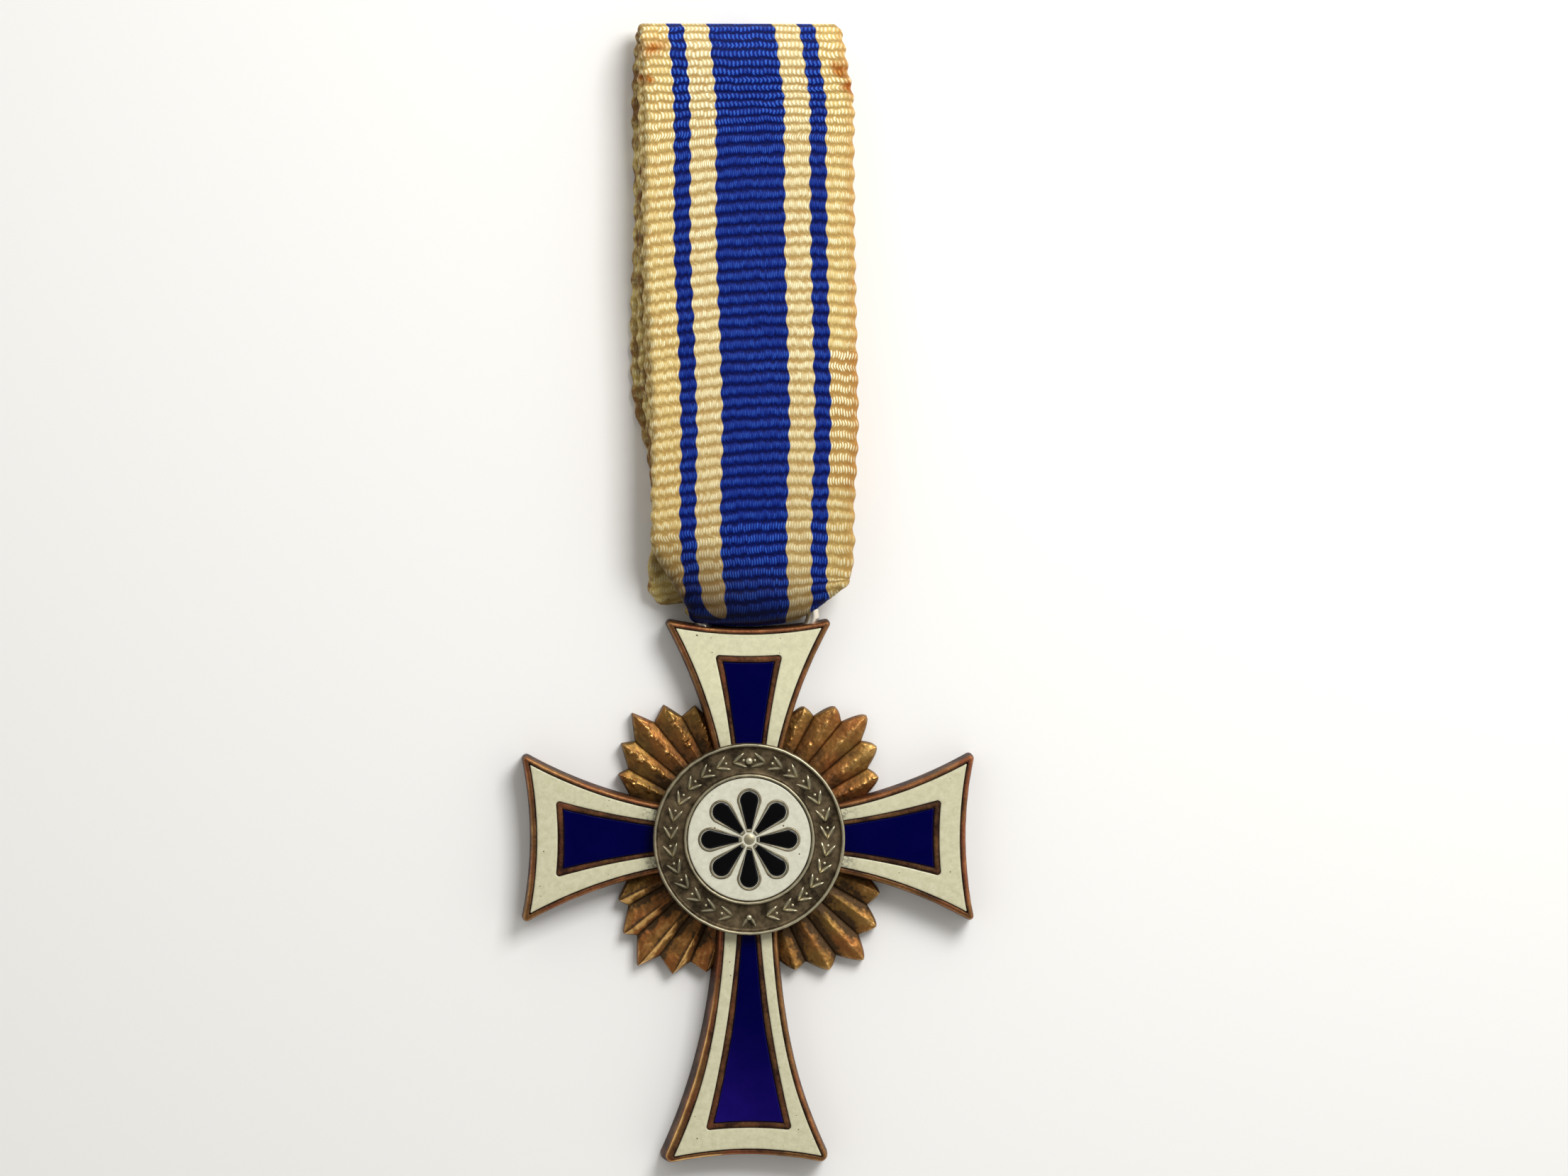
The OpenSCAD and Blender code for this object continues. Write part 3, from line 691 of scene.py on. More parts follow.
def flared_outline(sides, reach, inset, corner, root_x):
    """Points round an arm that points right, moved in by inset: hollow sides and end, rounded corners."""
    centre, radius = circle_through(*sides)
    end = Vector((reach + HOLLOW, 0))
    corner = max(corner - inset, CORNER_MIN)
    side_r, end_r = radius + inset, HOLLOW + inset
    # The corner's centre lies where circles round the side and the end meet
    between = end - centre
    near, far = side_r + corner, end_r + corner
    along = (near * near - far * far + between.length_squared) / (2 * between.length)
    aside = sqrt(near * near - along * along)
    unit = between.normalized()
    bends = [centre + unit * along + side * aside * Vector((-unit.y, unit.x)) for side in (1, -1)]
    bend = min(bends, key=lambda place: (place - sides[2]).length)
    root_turn = -acos((root_x - centre.x) / side_r)
    side_turn = atan2(bend.y - centre.y, bend.x - centre.x)
    end_turn = atan2(bend.y - end.y, bend.x - end.x)
    half = arc(centre, side_r, root_turn, side_turn, 56)
    half += arc(bend, corner, side_turn + pi, end_turn - pi, 8)
    half += arc(end, end_r, end_turn, pi, 24)
    tip = end - Vector((end_r, 0))
    return half + [tip] + [Vector((p.x, -p.y)) for p in reversed(half)]


def raised(outline, height):
    return [Vector((p.x, p.y, height)) for p in outline]


def panel_ring(name, inset, height, root_x=WALL_ROOT_X):
    """A ring round the wall of a blue panel. The wall grows narrower towards the medallion."""
    root_w, middle_d, middle_w, end_d, end_w = PANELS[name]
    sides = [Vector((ROOT_D, root_w)), Vector((middle_d, middle_w)), Vector((end_d, end_w))]
    reach = end_d - end_w * end_w / (2 * HOLLOW)
    ring = raised(flared_outline(sides, reach, inset, PANEL_CORNER_R, root_x), height)
    for place in ring:
        taper = WALL_TAPER * ease(inset, 0.1, 0.35) * (1 - ease(place.x, *TAPER_X))
        place.y += copysign(taper, place.y)
    return ring


def arm_ring(arm, inset, height, root_x=RIM_ROOT_X):
    """A ring round an arm's rim."""
    name, turn, reach, root_w, middle_d, middle_w, tip_d, tip_w, corner = arm
    sides = [Vector((ROOT_D, root_w)), Vector((middle_d, middle_w)), Vector((tip_d, tip_w))]
    ring = raised(flared_outline(sides, reach, inset, corner, root_x), height)
    if name == "down":
        for place in ring:
            along = ease(place.x, *UNEVEN_X)
            if place.y > 0:
                place.y -= (RIGHT_IN + RIGHT_IN_TIP * along) * ease(place.y, 0.5, 2.5)
            else:
                inward = LEFT_RIM_WIDER * along * ease(inset, 0.15, 0.45)
                outward = LEFT_LEAN * max(LEFT_LEAN_Z - height, 0)
                place.y += (inward - outward) * ease(-place.y, 0.5, 2.5)
    return ring


def ring_edges(bm, ring):
    return [bm.edges.get(pair) for pair in zip(ring, ring[1:] + ring[:1])]


def skin(bm, rings):
    """Draws walls through rings of places, each ring extruded from the last. Returns the rings' vertices."""
    ring = [bm.verts.new(place) for place in rings[0]]
    for pair in zip(ring, ring[1:] + ring[:1]):
        bm.edges.new(pair)
    made = [ring]
    for places in rings[1:]:
        grown = bmesh.ops.extrude_edge_only(bm, edges=ring_edges(bm, ring))["geom"]
        fresh = {v for v in grown if isinstance(v, bmesh.types.BMVert)}
        ring = [next(e.other_vert(v) for e in v.link_edges if e.other_vert(v) in fresh) for v in ring]
        for v, place in zip(ring, places):
            v.co = place
        made.append(ring)
    return made


def worn_skin(bm, wear, section, ring_at):
    """Walls along a section of insets, heights and wears, whose rings ring_at() gives."""
    made = skin(bm, [ring_at(inset, height) for inset, height, worn in section])
    for ring, row in zip(made, section):
        for v in ring:
            v[wear] = row[2]
    return made


def cap(bm, rings):
    """Closes a skin over its first and its last ring."""
    for ring in (rings[0], rings[-1]):
        bmesh.ops.edgeloop_fill(bm, edges=ring_edges(bm, ring))


def merge(bm):
    bmesh.ops.remove_doubles(bm, verts=bm.verts, dist=1e-5)


def turn_verts(bm, verts, angle):
    """Turns vertices round the medal's middle, by an angle in degrees."""
    bmesh.ops.rotate(bm, cent=(0, 0, 0), matrix=Matrix.Rotation(radians(angle), 3, "Z"), verts=verts)


def dent(verts, amount, grain):
    """Small unevenness of struck and filed metal."""
    for v in verts:
        v.co += amount * Vector([wobble(v.co, grain, seed) for seed in (3, 17, 31)])


def walled(bm, top, foot_z):
    """Walls down from the rim of an open face to a flat bottom. Returns the bottom's vertices."""
    rim = {e for v in top for e in v.link_edges if e.is_boundary}
    skirt = bmesh.ops.extrude_edge_only(bm, edges=list(rim))["geom"]
    foot = [v for v in skirt if isinstance(v, bmesh.types.BMVert)]
    for v in foot:
        v.co.z = foot_z
    base = [e for e in skirt if isinstance(e, bmesh.types.BMEdge) and all(v in foot for v in e.verts)]
    bmesh.ops.edgeloop_fill(bm, edges=base)
    return foot


def worn_bmesh():
    """An empty bmesh, and the layer in which its metal's wear is kept: below 0 dark, 1 bright."""
    bm = bmesh.new()
    return bm, bm.verts.layers.float.new("wear")


def arm_frame(arm, material):
    """One arm's struck plate: its back, its rounded rim and the wall round its blue panel."""
    name, turn = arm[:2]
    bm, wear = worn_bmesh()
    rim = worn_skin(bm, wear, RIM, partial(arm_ring, arm))
    cap(bm, rim)
    worn_skin(bm, wear, WALL, partial(panel_ring, name))
    merge(bm)
    if name == "down":
        # The left rim of the long arm carries a painted highlight along its crest
        for v in bm.verts:
            if v.co.z > GLINT_RIM_Z and v.co.y < -2:
                crest = ease(v[wear], 0.28, 0.45) * ease(v.co.x, 12, 15.5)
                v[wear] += GLINT_RIM * crest * (0.7 + 0.5 * wobble(v.co, 1.1))
    dent([v for v in bm.verts if v.co.z > 0.3], STRUCK, STRUCK_GRAIN)
    turn_verts(bm, bm.verts, turn)
    return piece(bm, "arm_frame_" + name, material, "bronze", "cross_body")


def white_band(arm, material):
    """The white enamel between an arm's rim and the wall round its blue panel."""
    name, turn = arm[:2]
    bm = bmesh.new()
    wall_inset = WALL[0][0] - WALL_GAP
    outer = [arm_ring(arm, RIM_GAP + inset, height, BAND_ROOT_X) for inset, height in ENAMEL_EDGE]
    inner = [panel_ring(name, wall_inset - inset, height, BAND_WALL_X) for inset, height in ENAMEL_EDGE]
    skin(bm, outer + inner[::-1] + outer[:1])
    merge(bm)
    turn_verts(bm, bm.verts, turn)
    return piece(bm, "white_glaze_" + name, material, "white_enamel", "white_enamel_" + name)


def blue_panel(arm, material):
    """The blue enamel inside the wall."""
    name, turn = arm[:2]
    bm = bmesh.new()
    wall_inset = WALL[-2][0] + WALL_GAP
    cap(bm, skin(bm, [panel_ring(name, wall_inset + inset, height) for inset, height in ENAMEL_EDGE]))
    turn_verts(bm, bm.verts, turn)
    return piece(bm, "blue_glaze_" + name, material, "blue_enamel", "blue_enamel_" + name)


def ray_face(v, wear, ray, fan, seed):
    """Moves a vertex of a flat square grid to its place on a ray's face: x along the ray and y across."""
    tip, left_notch, right_notch, half = ray
    s, t = (v.co.x + 1) / 2, v.co.y
    notch = left_notch if t > 0 else right_notch
    neck = notch * cos(half)
    along = HUB_R + s * (tip - HUB_R)
    # Up to the notch a ray touches the next one, and past it its tip is free
    if along < neck:
        width, free = along * tan(half), 0
    else:
        free = (along - neck) / (tip - neck)
        width = neck * tan(half) * (1 - free) ** fan.fullness + RAY_POINT
    before_ridge = t < fan.ridge
    crest = (1 + t) / (1 + fan.ridge) if before_ridge else (1 - t) / (1 - fan.ridge)
    roof = fan.crispness * crest + (1 - fan.crispness) * sin(pi / 2 * crest) ** 0.8
    climb = 0.8 + 0.2 * ease(s, 0, 0.5) - 0.5 * ease(free, 0.35, 1)
    # Past the notch the edge is rounded over and has a fine raised lip
    edge = (1 - abs(t)) * width
    rounded = ease(free, 0.0, 0.25) * max(0, 1 - edge / 0.2) ** 2
    lip = ease(free, 0.02, 0.3) * max(0, 1 - abs(edge - 0.2) / 0.1)
    lip *= 0.6 + 0.6 * wobble((along, t), 0.5, seed)
    seam = max(0, 1 - edge / 0.09) * (1 - ease(free, 0, 0.15))
    # Dents, streaks along the ray, and crumbs of metal on the ridge
    spot = (along, t * width, seed)
    dents = sum(depth * wobble(spot, grain, seed + other) for depth, grain, other in DENTS)
    streak = wobble((along / 6, t * width, seed), 0.22, seed + 11)
    crumb = fan.crumbs * ease(crest, 0.55, 0.9) * ease(s, 0.15, 0.35) * ease(free, 0.4, 0.0)
    crumb *= ease(wobble(spot, 0.3, seed + 9) + 0.5 * wobble(spot, 0.14, seed + 2), 0.1, 0.45)
    # Soot lies in broad ragged bands along the furrows up to the notches
    ragged = 0.6 * wobble((along / 1.8, t * width, seed), 0.5, seed + 13)
    ragged += 0.3 * wobble(spot, 0.22, seed + 14)
    soot = ease(edge + ragged, 0.6, 0.1) * (1 - ease(free, 0, 0.35))
    patina = ease(along + 1.2 * wobble(spot, 1.1, seed + 4), fan.clean, fan.dark)
    # The ridge is rubbed, with a painted highlight on both faces, or only on the face past it, which faces
    # the light, with a painted shadow line before it
    if t > fan.ridge:
        rub_and_glint = crest ** (4 - 3.2 * fan.one_sided)
    else:
        rub_and_glint = (1 - fan.one_sided) * crest**4 - 0.5 * fan.one_sided * ease(crest, 0.75, 0.95)
    v[wear] = (
        0.38
        + fan.glint * rub_and_glint * ease(along, 7.8, 9.8)
        + 0.13 * (1 + fan.crispness) * lip
        - 0.36 * rounded
        + 0.10 * free
        - 0.27 * patina
        - 0.16 * seam
        + 0.14 * dents
        + 0.14 * streak
        + 0.7 * crumb
        # Painted shade on the face before the ridge, turned away from the light
        - fan.shade * before_ridge * (1 - crest**4)
        - fan.soot * soot
    )
    relief = 0.08 * fan.crispness * lip - 0.3 * rounded + 0.05 * dents + 0.16 * crumb - 0.04 * seam
    # The tip is drawn towards the ridge's side
    drawn = 0.9 * fan.ridge * free * neck * tan(half)
    v.co = Vector((along, t * width + drawn, RAY_EDGE + RAY_RISE * roof * climb + relief))


def ray_fan(number, material):
    """Five rays, each a faceted leaf with its own walls, side by side between two arms."""
    name = FAN_NAMES[number]
    fan = SimpleNamespace(**{key: values[number] for key, values in FANS.items()})
    bm, wear = worn_bmesh()
    for k, tip in enumerate(TIPS):
        ray = (tip, NOTCHES[k + 1], NOTCHES[k], radians(fan.step / 2))
        top = bmesh.ops.create_grid(bm, x_segments=56, y_segments=24, size=1)["verts"]
        for v in top:
            ray_face(v, wear, ray, fan, 10 * k + len(name) + 3 * fan.turn)
        foot = walled(bm, top, RAY_BASE)
        for v in foot:
            v[wear] = RAY_BACK_WEAR
        turn_verts(bm, top + foot, fan.first + k * fan.step)
    if fan.mirrored:
        bmesh.ops.scale(bm, vec=(1, -1, 1), verts=bm.verts)
    turn_verts(bm, bm.verts, fan.turn)
    return piece(bm, "rays_" + name, material, "bronze", "cross_body")


def hub(material):
    """The plain round plate under the medallion, which the arms and the rays grow from."""
    bm, wear = worn_bmesh()
    cap(bm, skin(bm, [raised(circle(HUB_R + 0.15, 96), height) for height in HUB_HEIGHTS]))
    for v in bm.verts:
        v[wear] = HUB_WEAR
    return piece(bm, "hub", material, "bronze", "cross_body")


def wire_loop(material):
    """The silvered wire loop, soldered into the top edge of the cross."""
    bm, wear = worn_bmesh()
    bend = (BAR_Y - LOOP_FOOT_Y) / 2
    right, left = (Vector((LOOP_X + side * (LOOP_HALF_W - bend), LOOP_FOOT_Y + bend)) for side in (1, -1))
    path = arc(right, bend, -pi / 2, pi / 2, 20) + [right + Vector((0, bend))]
    path += arc(left, bend, pi / 2, 3 * pi / 2, 20) + [left - Vector((0, bend))]
    path = raised(path, BAR_Z)
    rings = []
    for k, place in enumerate(path):
        way = (path[(k + 1) % len(path)] - path[k - 1]).normalized()
        aside = way.cross(UP).normalized()
        rings.append([place + p.x * aside + p.y * UP for p in circle(WIRE_D / 2, 20)])
    skin(bm, rings + rings[:1])
    merge(bm)
    for v in bm.verts:
        v[wear] = WIRE_WEAR
    return piece(bm, "wire_loop", material, "bronze", "cross_body")


def leaf(bm, wear, place, turn, length, width):
    """A small raised laurel leaf with a sharp midrib."""
    made = bmesh.ops.create_grid(bm, x_segments=8, y_segments=4, size=1)["verts"]
    for v in made:
        s, t = (v.co.x + 1) / 2, v.co.y
        half = width / 2 * sin(pi * s**0.8) ** 0.8 + 0.01
        crest = 1 - abs(t)
        swell = 0.2 * crest * sin(pi * min(s + 0.12, 1)) ** 0.5 if s < 0.99 else 0
        v[wear] = 0.2 + 0.6 * crest
        v.co = Vector((s * length, t * half, 0.02 + swell))
    foot = walled(bm, made, -0.1)
    for v in foot:
        v[wear] = 0
    turn_verts(bm, made + foot, degrees(turn))
    bmesh.ops.translate(bm, vec=place, verts=made + foot)


def bead(bm, wear, place, radius):
    made = bmesh.ops.create_uvsphere(bm, u_segments=12, v_segments=8, radius=radius)["verts"]
    for v in made:
        v[wear] = 0.3 + 0.5 * max(v.co.z / radius, 0)
    bmesh.ops.scale(bm, vec=(1, 1, 0.8), verts=made)
    bmesh.ops.translate(bm, vec=place, verts=made)


def wreath(bm, wear):
    """Two laurel sprays that climb the ring from the bottom, pairs of leaves with a berry in each fork."""
    for side in (1, -1):
        for k in range(LEAF_PAIRS):
            turn = -pi / 2 + side * (0.1 + (pi - 0.2) * (k + 0.5) / LEAF_PAIRS)
            place = Vector((RING_MIDDLE * cos(turn), RING_MIDDLE * sin(turn), RING_GROUND))
            forward = turn + side * pi / 2
            for lean in (LEAF_LEAN, -LEAF_LEAN):
                leaf(bm, wear, place, forward + lean, *LEAF)
            bead(bm, wear, place + BERRY_AHEAD * Vector((cos(forward), sin(forward), 0)), BERRY_R)
        lowest = Vector((side * 0.1, -RING_MIDDLE, RING_GROUND))
        leaf(bm, wear, lowest, -pi / 2 + side * LOWEST_LEAN, *LOWEST_LEAF)
    for y, radius in RING_BEADS:
        bead(bm, wear, Vector((0, y, RING_GROUND + 0.05)), radius)


def petal_outline(grow):
    """Points round a petal that points right: its round end, and straight sides that narrow to the bead."""
    radius = PETAL_W / 2 + grow
    middle = Vector((PETAL_REACH - PETAL_W / 2, 0))
    shoulder = pi / 2 + asin(0.12)
    foot_x = BEAD_D / 2 - grow
    foot_y = SHOULDER * radius * foot_x / middle.x
    round_end = arc(middle, radius, -shoulder, shoulder, 30)
    round_end.append(middle + radius * Vector((cos(shoulder), sin(shoulder))))
    return round_end + [Vector((foot_x, foot_y)), Vector((foot_x, -foot_y))]


def petal_ring(k, share, height):
    return raised(petal_outline(share * PETAL_WALL), height + PETAL_STEP * k)


def petal_walls(bm, wear):
    """The thin silver walls round the eight petals, and the bead that they meet at."""
    for k in range(PETAL_COUNT):
        rings = worn_skin(bm, wear, PETAL_WALL_SECTION, partial(petal_ring, k))
        turn_verts(bm, [v for ring in rings for v in ring], 360 * k / PETAL_COUNT)
    boss = bmesh.ops.create_uvsphere(bm, u_segments=32, v_segments=12, radius=BEAD_D / 2)["verts"]
    for v in boss:
        v[wear] = 0.2 + 0.4 * max(v.co.z / BEAD_D * 2, 0)
        v.co.z = BEAD_Z + v.co.z * BEAD_SQUASH
    merge(bm)


def medallion(material):
    """The silver disc with its two rims, the laurel between them and the rosette's walls in its well."""
    bm, wear = worn_bmesh()
    verts = [bm.verts.new((radius, 0, height)) for radius, height, worn in MEDALLION]
    edges = [bm.edges.new(pair) for pair in zip(verts, verts[1:])]
    for v, row in zip(verts, MEDALLION):
        v[wear] = row[2]
    full_turn = {"angle": 2 * pi, "steps": 200, "use_merge": True, "use_duplicate": False}
    bmesh.ops.spin(bm, geom=verts + edges, cent=(0, 0, 0), axis=UP, **full_turn)
    merge(bm)
    raised_verts = [v for v in bm.verts if hypot(v.co.x, v.co.y) > DENTED_FROM_R and v.co.z > DENTED_FROM_Z]
    dent(raised_verts, DENTED, DENTED_GRAIN)
    wreath(bm, wear)
    petal_walls(bm, wear)
    # The right side is painted brighter, as if the light fell from there, by raising its wear
    for v in bm.verts:
        v[wear] *= 0.82 + 0.03 * v.co.x
    return piece(bm, "silver_medallion", material, "silver", "medallion")


def field(material):
    """The white enamel round the rosette."""
    bm = bmesh.new()
    rings = [raised(circle(FIELD_R - inset, 144), height + FIELD_RISE) for inset, height in ENAMEL_EDGE]
    cap(bm, skin(bm, rings))
    return piece(bm, "white_field", material, "white_enamel", "field_enamel")


def petal(k, material):
    """One petal's black enamel, a little domed."""
    bm = bmesh.new()
    cap(bm, skin(bm, [raised(petal_outline(-inset), height) for inset, height in PETAL_SECTION]))
    turn_verts(bm, bm.verts, 360 / PETAL_COUNT * k)
    return piece(bm, f"petal_{k}", material, "black_enamel", f"petal_enamel_{k}")


def turn_rows(middle_z, radius, reach, start, end, y, before, after):
    """The ribbon's course round a fold, without its ends."""
    rows = []
    for k in range(1, TURN_STEPS):
        share = k / TURN_STEPS
        t = radians(start + (end - start) * share)
        edges = [a + (b - a) * share for a, b in zip(before[2:], after[2:])]
        rows.append((y + reach * cos(t), middle_z + radius * sin(t), *edges))
    return rows


def ribbon_course():
    """The ribbon's closed course, with the part that shows from above first."""
    outer, inner, end = (((a + b) / 2, (b - a) / 2) for a, b in (LAYER_Z[::3], LAYER_Z[1:3], LAYER_Z[:2]))
    bar_y, bar_z, bar_r = BAR_TURN
    rows = (
        FRONT
        + turn_rows(*outer, FOLD_REACH, 90, -90, FOLD_Y, FRONT[-1], UNDER[0])
        + UNDER
        + turn_rows(*end, end[1], 270, 90, END_Y, UNDER[-1], SECOND[0])
        + SECOND
        + turn_rows(*inner, inner[1], -90, 90, INNER_FOLD_Y, SECOND[-1], THIRD[0])
        + THIRD
    )
    for angle, left, right, left_tuck, right_tuck in ROUND_BAR:
        t = radians(angle)
        rows.append((bar_y + bar_r * cos(t), bar_z + bar_r * sin(t), left, right, 0, left_tuck, right_tuck))
    # Most rows have no drop and no tucks
    return [Vector(row + (0, NO_TUCK, NO_TUCK)[len(row) - 4 :]) for row in rows]


def smooth_course(rows):
    """Fine steps along the smooth closed curve through the rows, each with its length from the start."""
    ahead = rows[1:] + rows[:1]
    gaps = [hypot(b[0] - a[0], b[1] - a[1]) for a, b in zip(rows, ahead)]
    slopes = [(b - a) / gap for a, b, gap in zip(rows, ahead, gaps)]
    # At each row the curve takes the slope of its nearer neighbour the more
    bends = [
        (gap * slopes[k - 1] + gaps[k - 1] * slopes[k]) / (gap + gaps[k - 1]) for k, gap in enumerate(gaps)
    ]
    fine, lengths, length = [], [], 0
    for k, gap in enumerate(gaps):
        a, b = rows[k], ahead[k]
        leave, arrive = bends[k] * gap, bends[(k + 1) % len(rows)] * gap
        steps = ceil(gap / SMOOTH_STEP)
        for n in range(steps):
            t = n / steps
            place = a * (2 * t**3 - 3 * t**2 + 1) + b * (3 * t**2 - 2 * t**3)
            place += leave * (t**3 - 2 * t**2 + t) + arrive * (t**3 - t**2)
            if fine:
                length += hypot(place[0] - fine[-1][0], place[1] - fine[-1][1])
            fine.append(place)
            lengths.append(length)
    last = fine[0] - fine[-1]
    return fine + fine[:1], lengths + [length + hypot(last[0], last[1])]


def spread(row, normal, share, rib):
    """Where a share of the ribbon's width lies: dropped along a fanned flap, or rolled in past a crease."""
    y, z, left, right, drop, left_tuck, right_tuck = row
    x = left + (right - left) * share + SWAY * sin(pi * rib)
    y -= drop * max(FAN_X - x, 0) / (FAN_X - left)
    y += EDGE_RISE[x > 0] * x * x * ease(EDGE_RISE_Y - y, 0, EDGE_RISE_FADE)
    sunk = 0
    for side, edge, tuck in ((1, right, right_tuck), (-1, left, left_tuck)):
        past = side * (x - edge) + tuck + TUCK_R
        if past > 0:
            turn = min(past / TUCK_R, pi)
            rest = max(past - pi * TUCK_R, 0)
            x = edge - side * (tuck + TUCK_R) + side * (TUCK_R * sin(turn) - TUCK_SQUEEZE * rest)
            sunk = TUCK_R * (1 - cos(turn))
    return Vector((x, y - sunk * normal[0], z - sunk * normal[1])), sunk / (2 * TUCK_R)


def ribbon(material):
    """The ribbed ribbon as one closed sheet: upper side, round selvedge, under side and selvedge."""
    fine, lengths = smooth_course(ribbon_course())
    # Ribs are counted along the course, and the count runs faster where they are crowded
    counts = [0]
    for before, after, place in zip(lengths, lengths[1:], fine):
        crowd = CROWDING * ease(place[0], *CROWDED)
        counts.append(counts[-1] + (after - before) / RIB_PITCH / (1 - crowd))
    ribs = 2 * round(counts[-1] / 2)
    counts = [count * ribs / counts[-1] for count in counts]

    def course(rib):
        """The ribbon's course and its direction at a place counted in ribs."""
        rib %= ribs
        n = min(bisect(counts, rib), len(counts) - 1) - 1
        length = lengths[n] + (lengths[n + 1] - lengths[n]) * (rib - counts[n]) / (counts[n + 1] - counts[n])
        k = min(bisect(lengths, length), len(lengths) - 1) - 1
        share = (length - lengths[k]) / (lengths[k + 1] - lengths[k])
        way = Vector((fine[k + 1][0] - fine[k][0], fine[k + 1][1] - fine[k][1])).normalized()
        return fine[k].lerp(fine[k + 1], share), (-way.y, way.x)

    # The mesh's lines across the ribbon, as places counted in ribs, with fewer where they are hidden
    lines = []
    for rib in range(ribs):
        y, z = course(rib)[0][:2]
        shown = z > LAYER_Z[2] + RIBBON_HALF or y < LOOP_FOOT_Y + 3
        steps = SHOWN_STEPS if shown else HIDDEN_STEPS
        lines += [rib + n / steps for n in range(steps)]
    count = len(lines)
    shares = [k / COLUMNS - EDGE_CROWDING * sin(2 * pi * k / COLUMNS) for k in range(COLUMNS + 1)]
    bows = [BOW / RIB_PITCH * sin(BOW_TURN * share) for share in shares]
    middles = []
    for rib in lines:
        straight = 1 - ease(course(rib)[0][0], *CROWDED)
        places = [course(rib + bow * straight) for bow in bows]
        middles.append([spread(*place, share, rib) for place, share in zip(places, shares)])

    def skin_place(k, column, side):
        """A point on the upper (1) or under (-1) side."""
        line, before, after = middles[k % count], middles[k % count - 1], middles[(k + 1) % count]
        place, tucked = line[column]
        across = line[min(column + 1, COLUMNS)][0] - line[max(column - 1, 0)][0]
        along = after[column][0] - before[column][0]
        crown = abs(sin(pi * lines[k % count]))
        half = (FURROW_HALF + (RIBBON_HALF - FURROW_HALF) * crown) * (1 - TUCK_THINNER * tucked)
        from_edge = min(shares[column], 1 - shares[column]) * RIBBON_W
        if from_edge < half:
            half *= sqrt(max(1 - (1 - from_edge / half) ** 2, 0))
        moved = place + side * half * across.cross(along).normalized()
        moved += UNEVEN_RIBS * wobble(place, RIB_GRAIN) * along.normalized()
        moved.z = max(moved.z + LOOSE_LIE * wobble(place, LIE_GRAIN), FLOOR_GAP)
        return moved

    bm = bmesh.new()
    stained = bm.verts.layers.float.new("stain")
    weave = bm.loops.layers.uv.new("weave")
    round_trip = 2 * COLUMNS
    bmesh.ops.create_grid(bm, x_segments=round_trip, y_segments=count, size=1)
    spots = {}
    for v in bm.verts:
        column = round((v.co.x + 1) / 2 * round_trip)
        k = round((v.co.y + 1) / 2 * count)
        side = 1 if column <= COLUMNS else -1
        column = min(column, round_trip - column)
        v.co = skin_place(k, column, side)
        spots[v] = Vector((shares[column], lines[k % count] + (ribs if k == count else 0)))
        for over, y, size, strength in STAINS:
            far = hypot(shares[column] * RIBBON_W - over, v.co.y - y) / size
            if far < 1 and v.co.z > LAYER_Z[1]:
                v[stained] = max(v[stained], strength * ease(1 - far, 0, 1))
    for face in bm.faces:
        for loop in face.loops:
            loop[weave].uv = spots[loop.vert]
    merge(bm)
    made = piece(bm, "ribbon_loop", material, "ribbon", "ribbon")


def aimed(data, name, place, aim):
    """An object for a light or camera at a place, looking at another, both in millimetres."""
    made = bpy.data.objects.new(name, data)
    back = (Vector(place) - Vector(aim)).normalized()
    right = Vector((0, 1, 0)).cross(back).normalized()
    turn = Matrix((right, back.cross(right), back)).transposed().to_4x4()
    made.matrix_world = Matrix.Translation(Vector(place) * MM) @ turn
    scene.collection.objects.link(made)
    return made


def set_up_camera():
    lens = bpy.data.cameras.new("camera")
    lens.sensor_width = SENSOR
    lens.lens = SENSOR * VIEW_DISTANCE / VIEW_WIDTH
    lens.clip_start = 0.01
    away = Vector((-tan(radians(LEAN_LEFT)), tan(radians(LEAN_UP)), 1)).normalized()
    scene.camera = aimed(lens, "camera", Vector(VIEW_AIM) + VIEW_DISTANCE * away, VIEW_AIM)


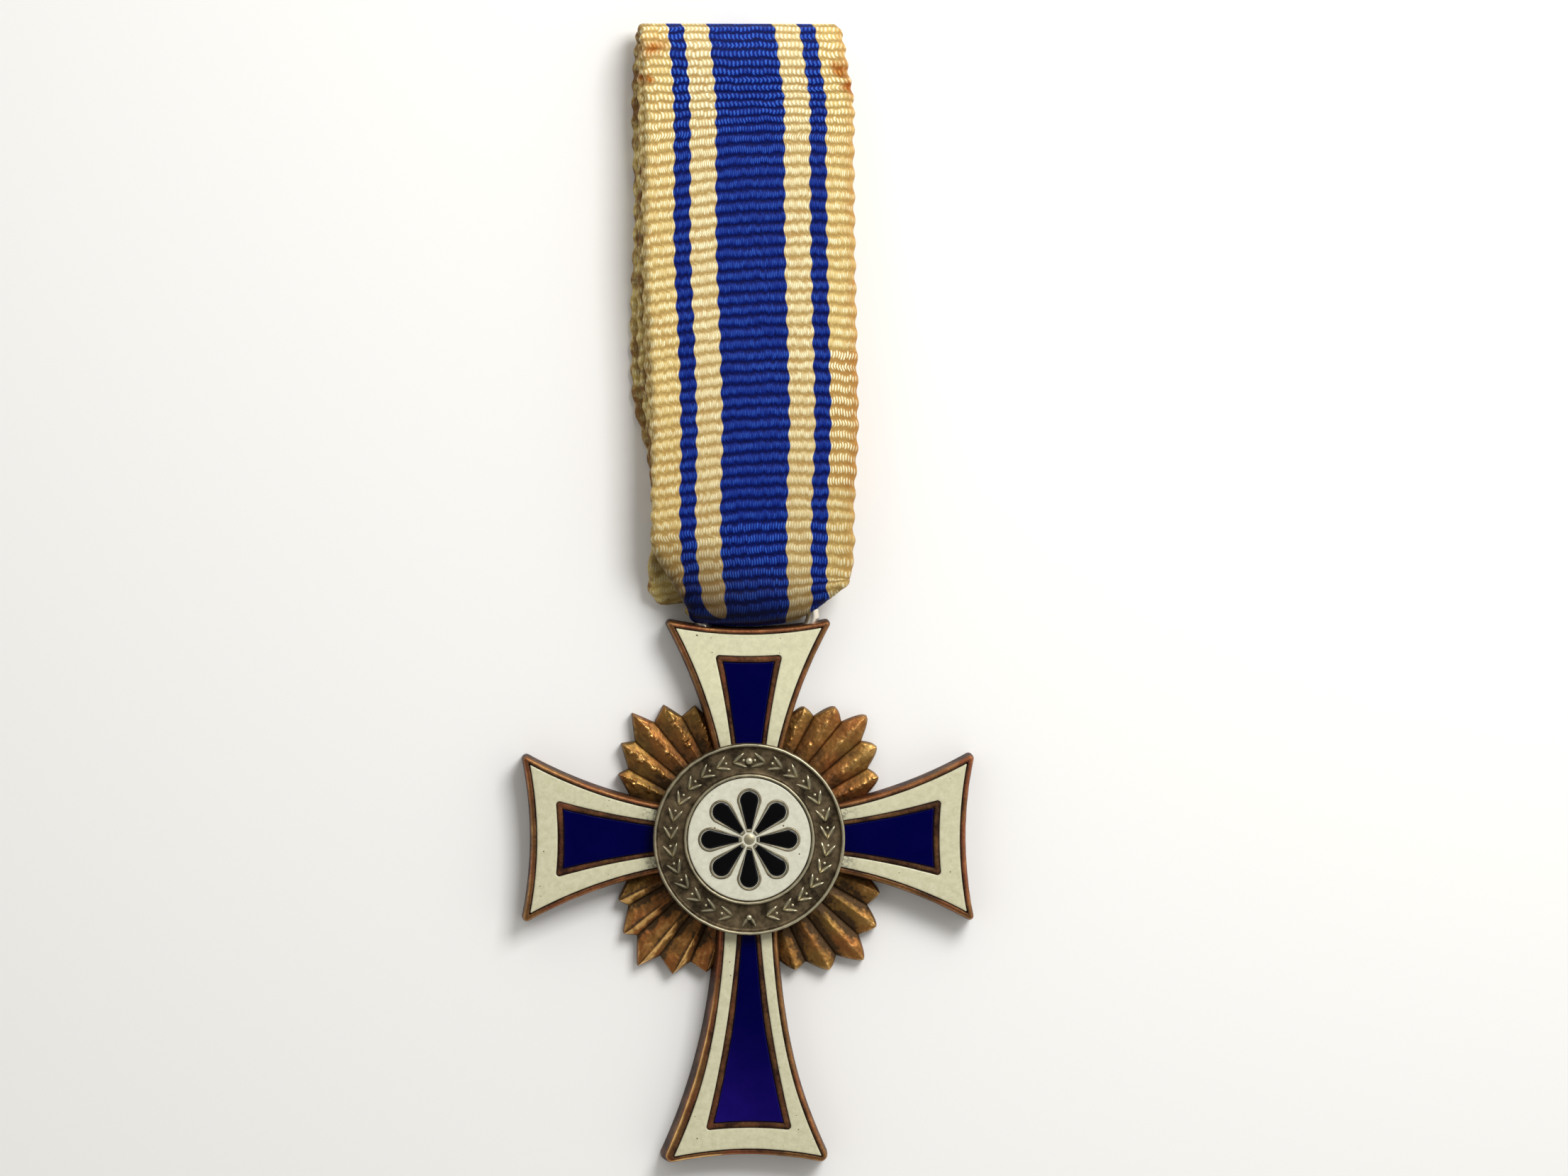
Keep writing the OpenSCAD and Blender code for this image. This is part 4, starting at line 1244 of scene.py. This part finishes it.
def set_up_light():
    world = bpy.data.worlds.new("studio")
    scene.world = world
    world.use_nodes = True
    world.node_tree.nodes.clear()
    node = partial(add, world.node_tree)
    way = node("TexCoord").outputs["Generated"]
    rise = node("SeparateXYZ", way).outputs["Z"]
    ring = node("MapRange", rise, *CEILING_EDGES, SKY, SKY * CEILING, interpolation_type="SMOOTHSTEP")
    side = node("VectorMath", way, SKY_SIDE, operation="DOT_PRODUCT").outputs["Value"]
    lean = node("Math", side, SKY_LEAN, 1.0, operation="MULTIPLY_ADD")
    strength = node("Math", ring, lean, operation="MULTIPLY")
    sky = node("Background", {"Color": srgb("#fffdf8"), "Strength": strength})
    node("OutputWorld", sky)
    lamp = bpy.data.lights.new("key_lamp", "AREA")
    lamp.size = KEY_SIZE * MM
    lamp.energy = KEY_POWER
    aimed(lamp, "key_lamp", KEY_PLACE, VIEW_AIM)
    scene.view_settings.view_transform = "Standard"


def lay_floor():
    bm = bmesh.new()
    bmesh.ops.create_grid(bm, x_segments=1, y_segments=1, size=FLOOR_HALF)
    bmesh.ops.translate(bm, vec=(0, 0, FLOOR_Z), verts=bm.verts)
    placed(bm, "floor", paper())


set_up_camera()
set_up_light()
lay_floor()

# The rays are worn brighter than the plate and its rims, and the wire's silver plating is pale and clean
ray_tombak = tombak("worn_tombak", "#4a3620", "#9a6234", "#906e38", "#ecbc74")
rim_tombak = tombak("brown_tombak", "#301a10", "#94593a", "#8c643c", "#f4c47c")
struck_silver = silver("oxidised_silver", "#32291c", "#75654c", "#d8d0b0")
silvered_wire = silver("silvered_wire", "#a89e8c", "#b8b0a0", "#f4ecdc")
# The cream's second tone is painted light: paler up the medal
cream_enamel = white_enamel("cream_enamel", "#d3cfb0", "#dedbb9", "#c0bb9a")
clean_enamel = white_enamel("white_field_enamel", "#dad9c6", "#dad9c6", "#c8c6b2")
cobalt = blue_enamel()
jet = black_enamel()

for arm in ARMS:
    arm_frame(arm, rim_tombak)
    white_band(arm, cream_enamel)
    blue_panel(arm, cobalt)
hub(rim_tombak)
for number in range(len(FAN_NAMES)):
    ray_fan(number, ray_tombak)
wire_loop(silvered_wire)
medallion(struck_silver)
field(clean_enamel)
for k in range(1, PETAL_COUNT + 1):
    petal(k, jet)
ribbon(grosgrain())
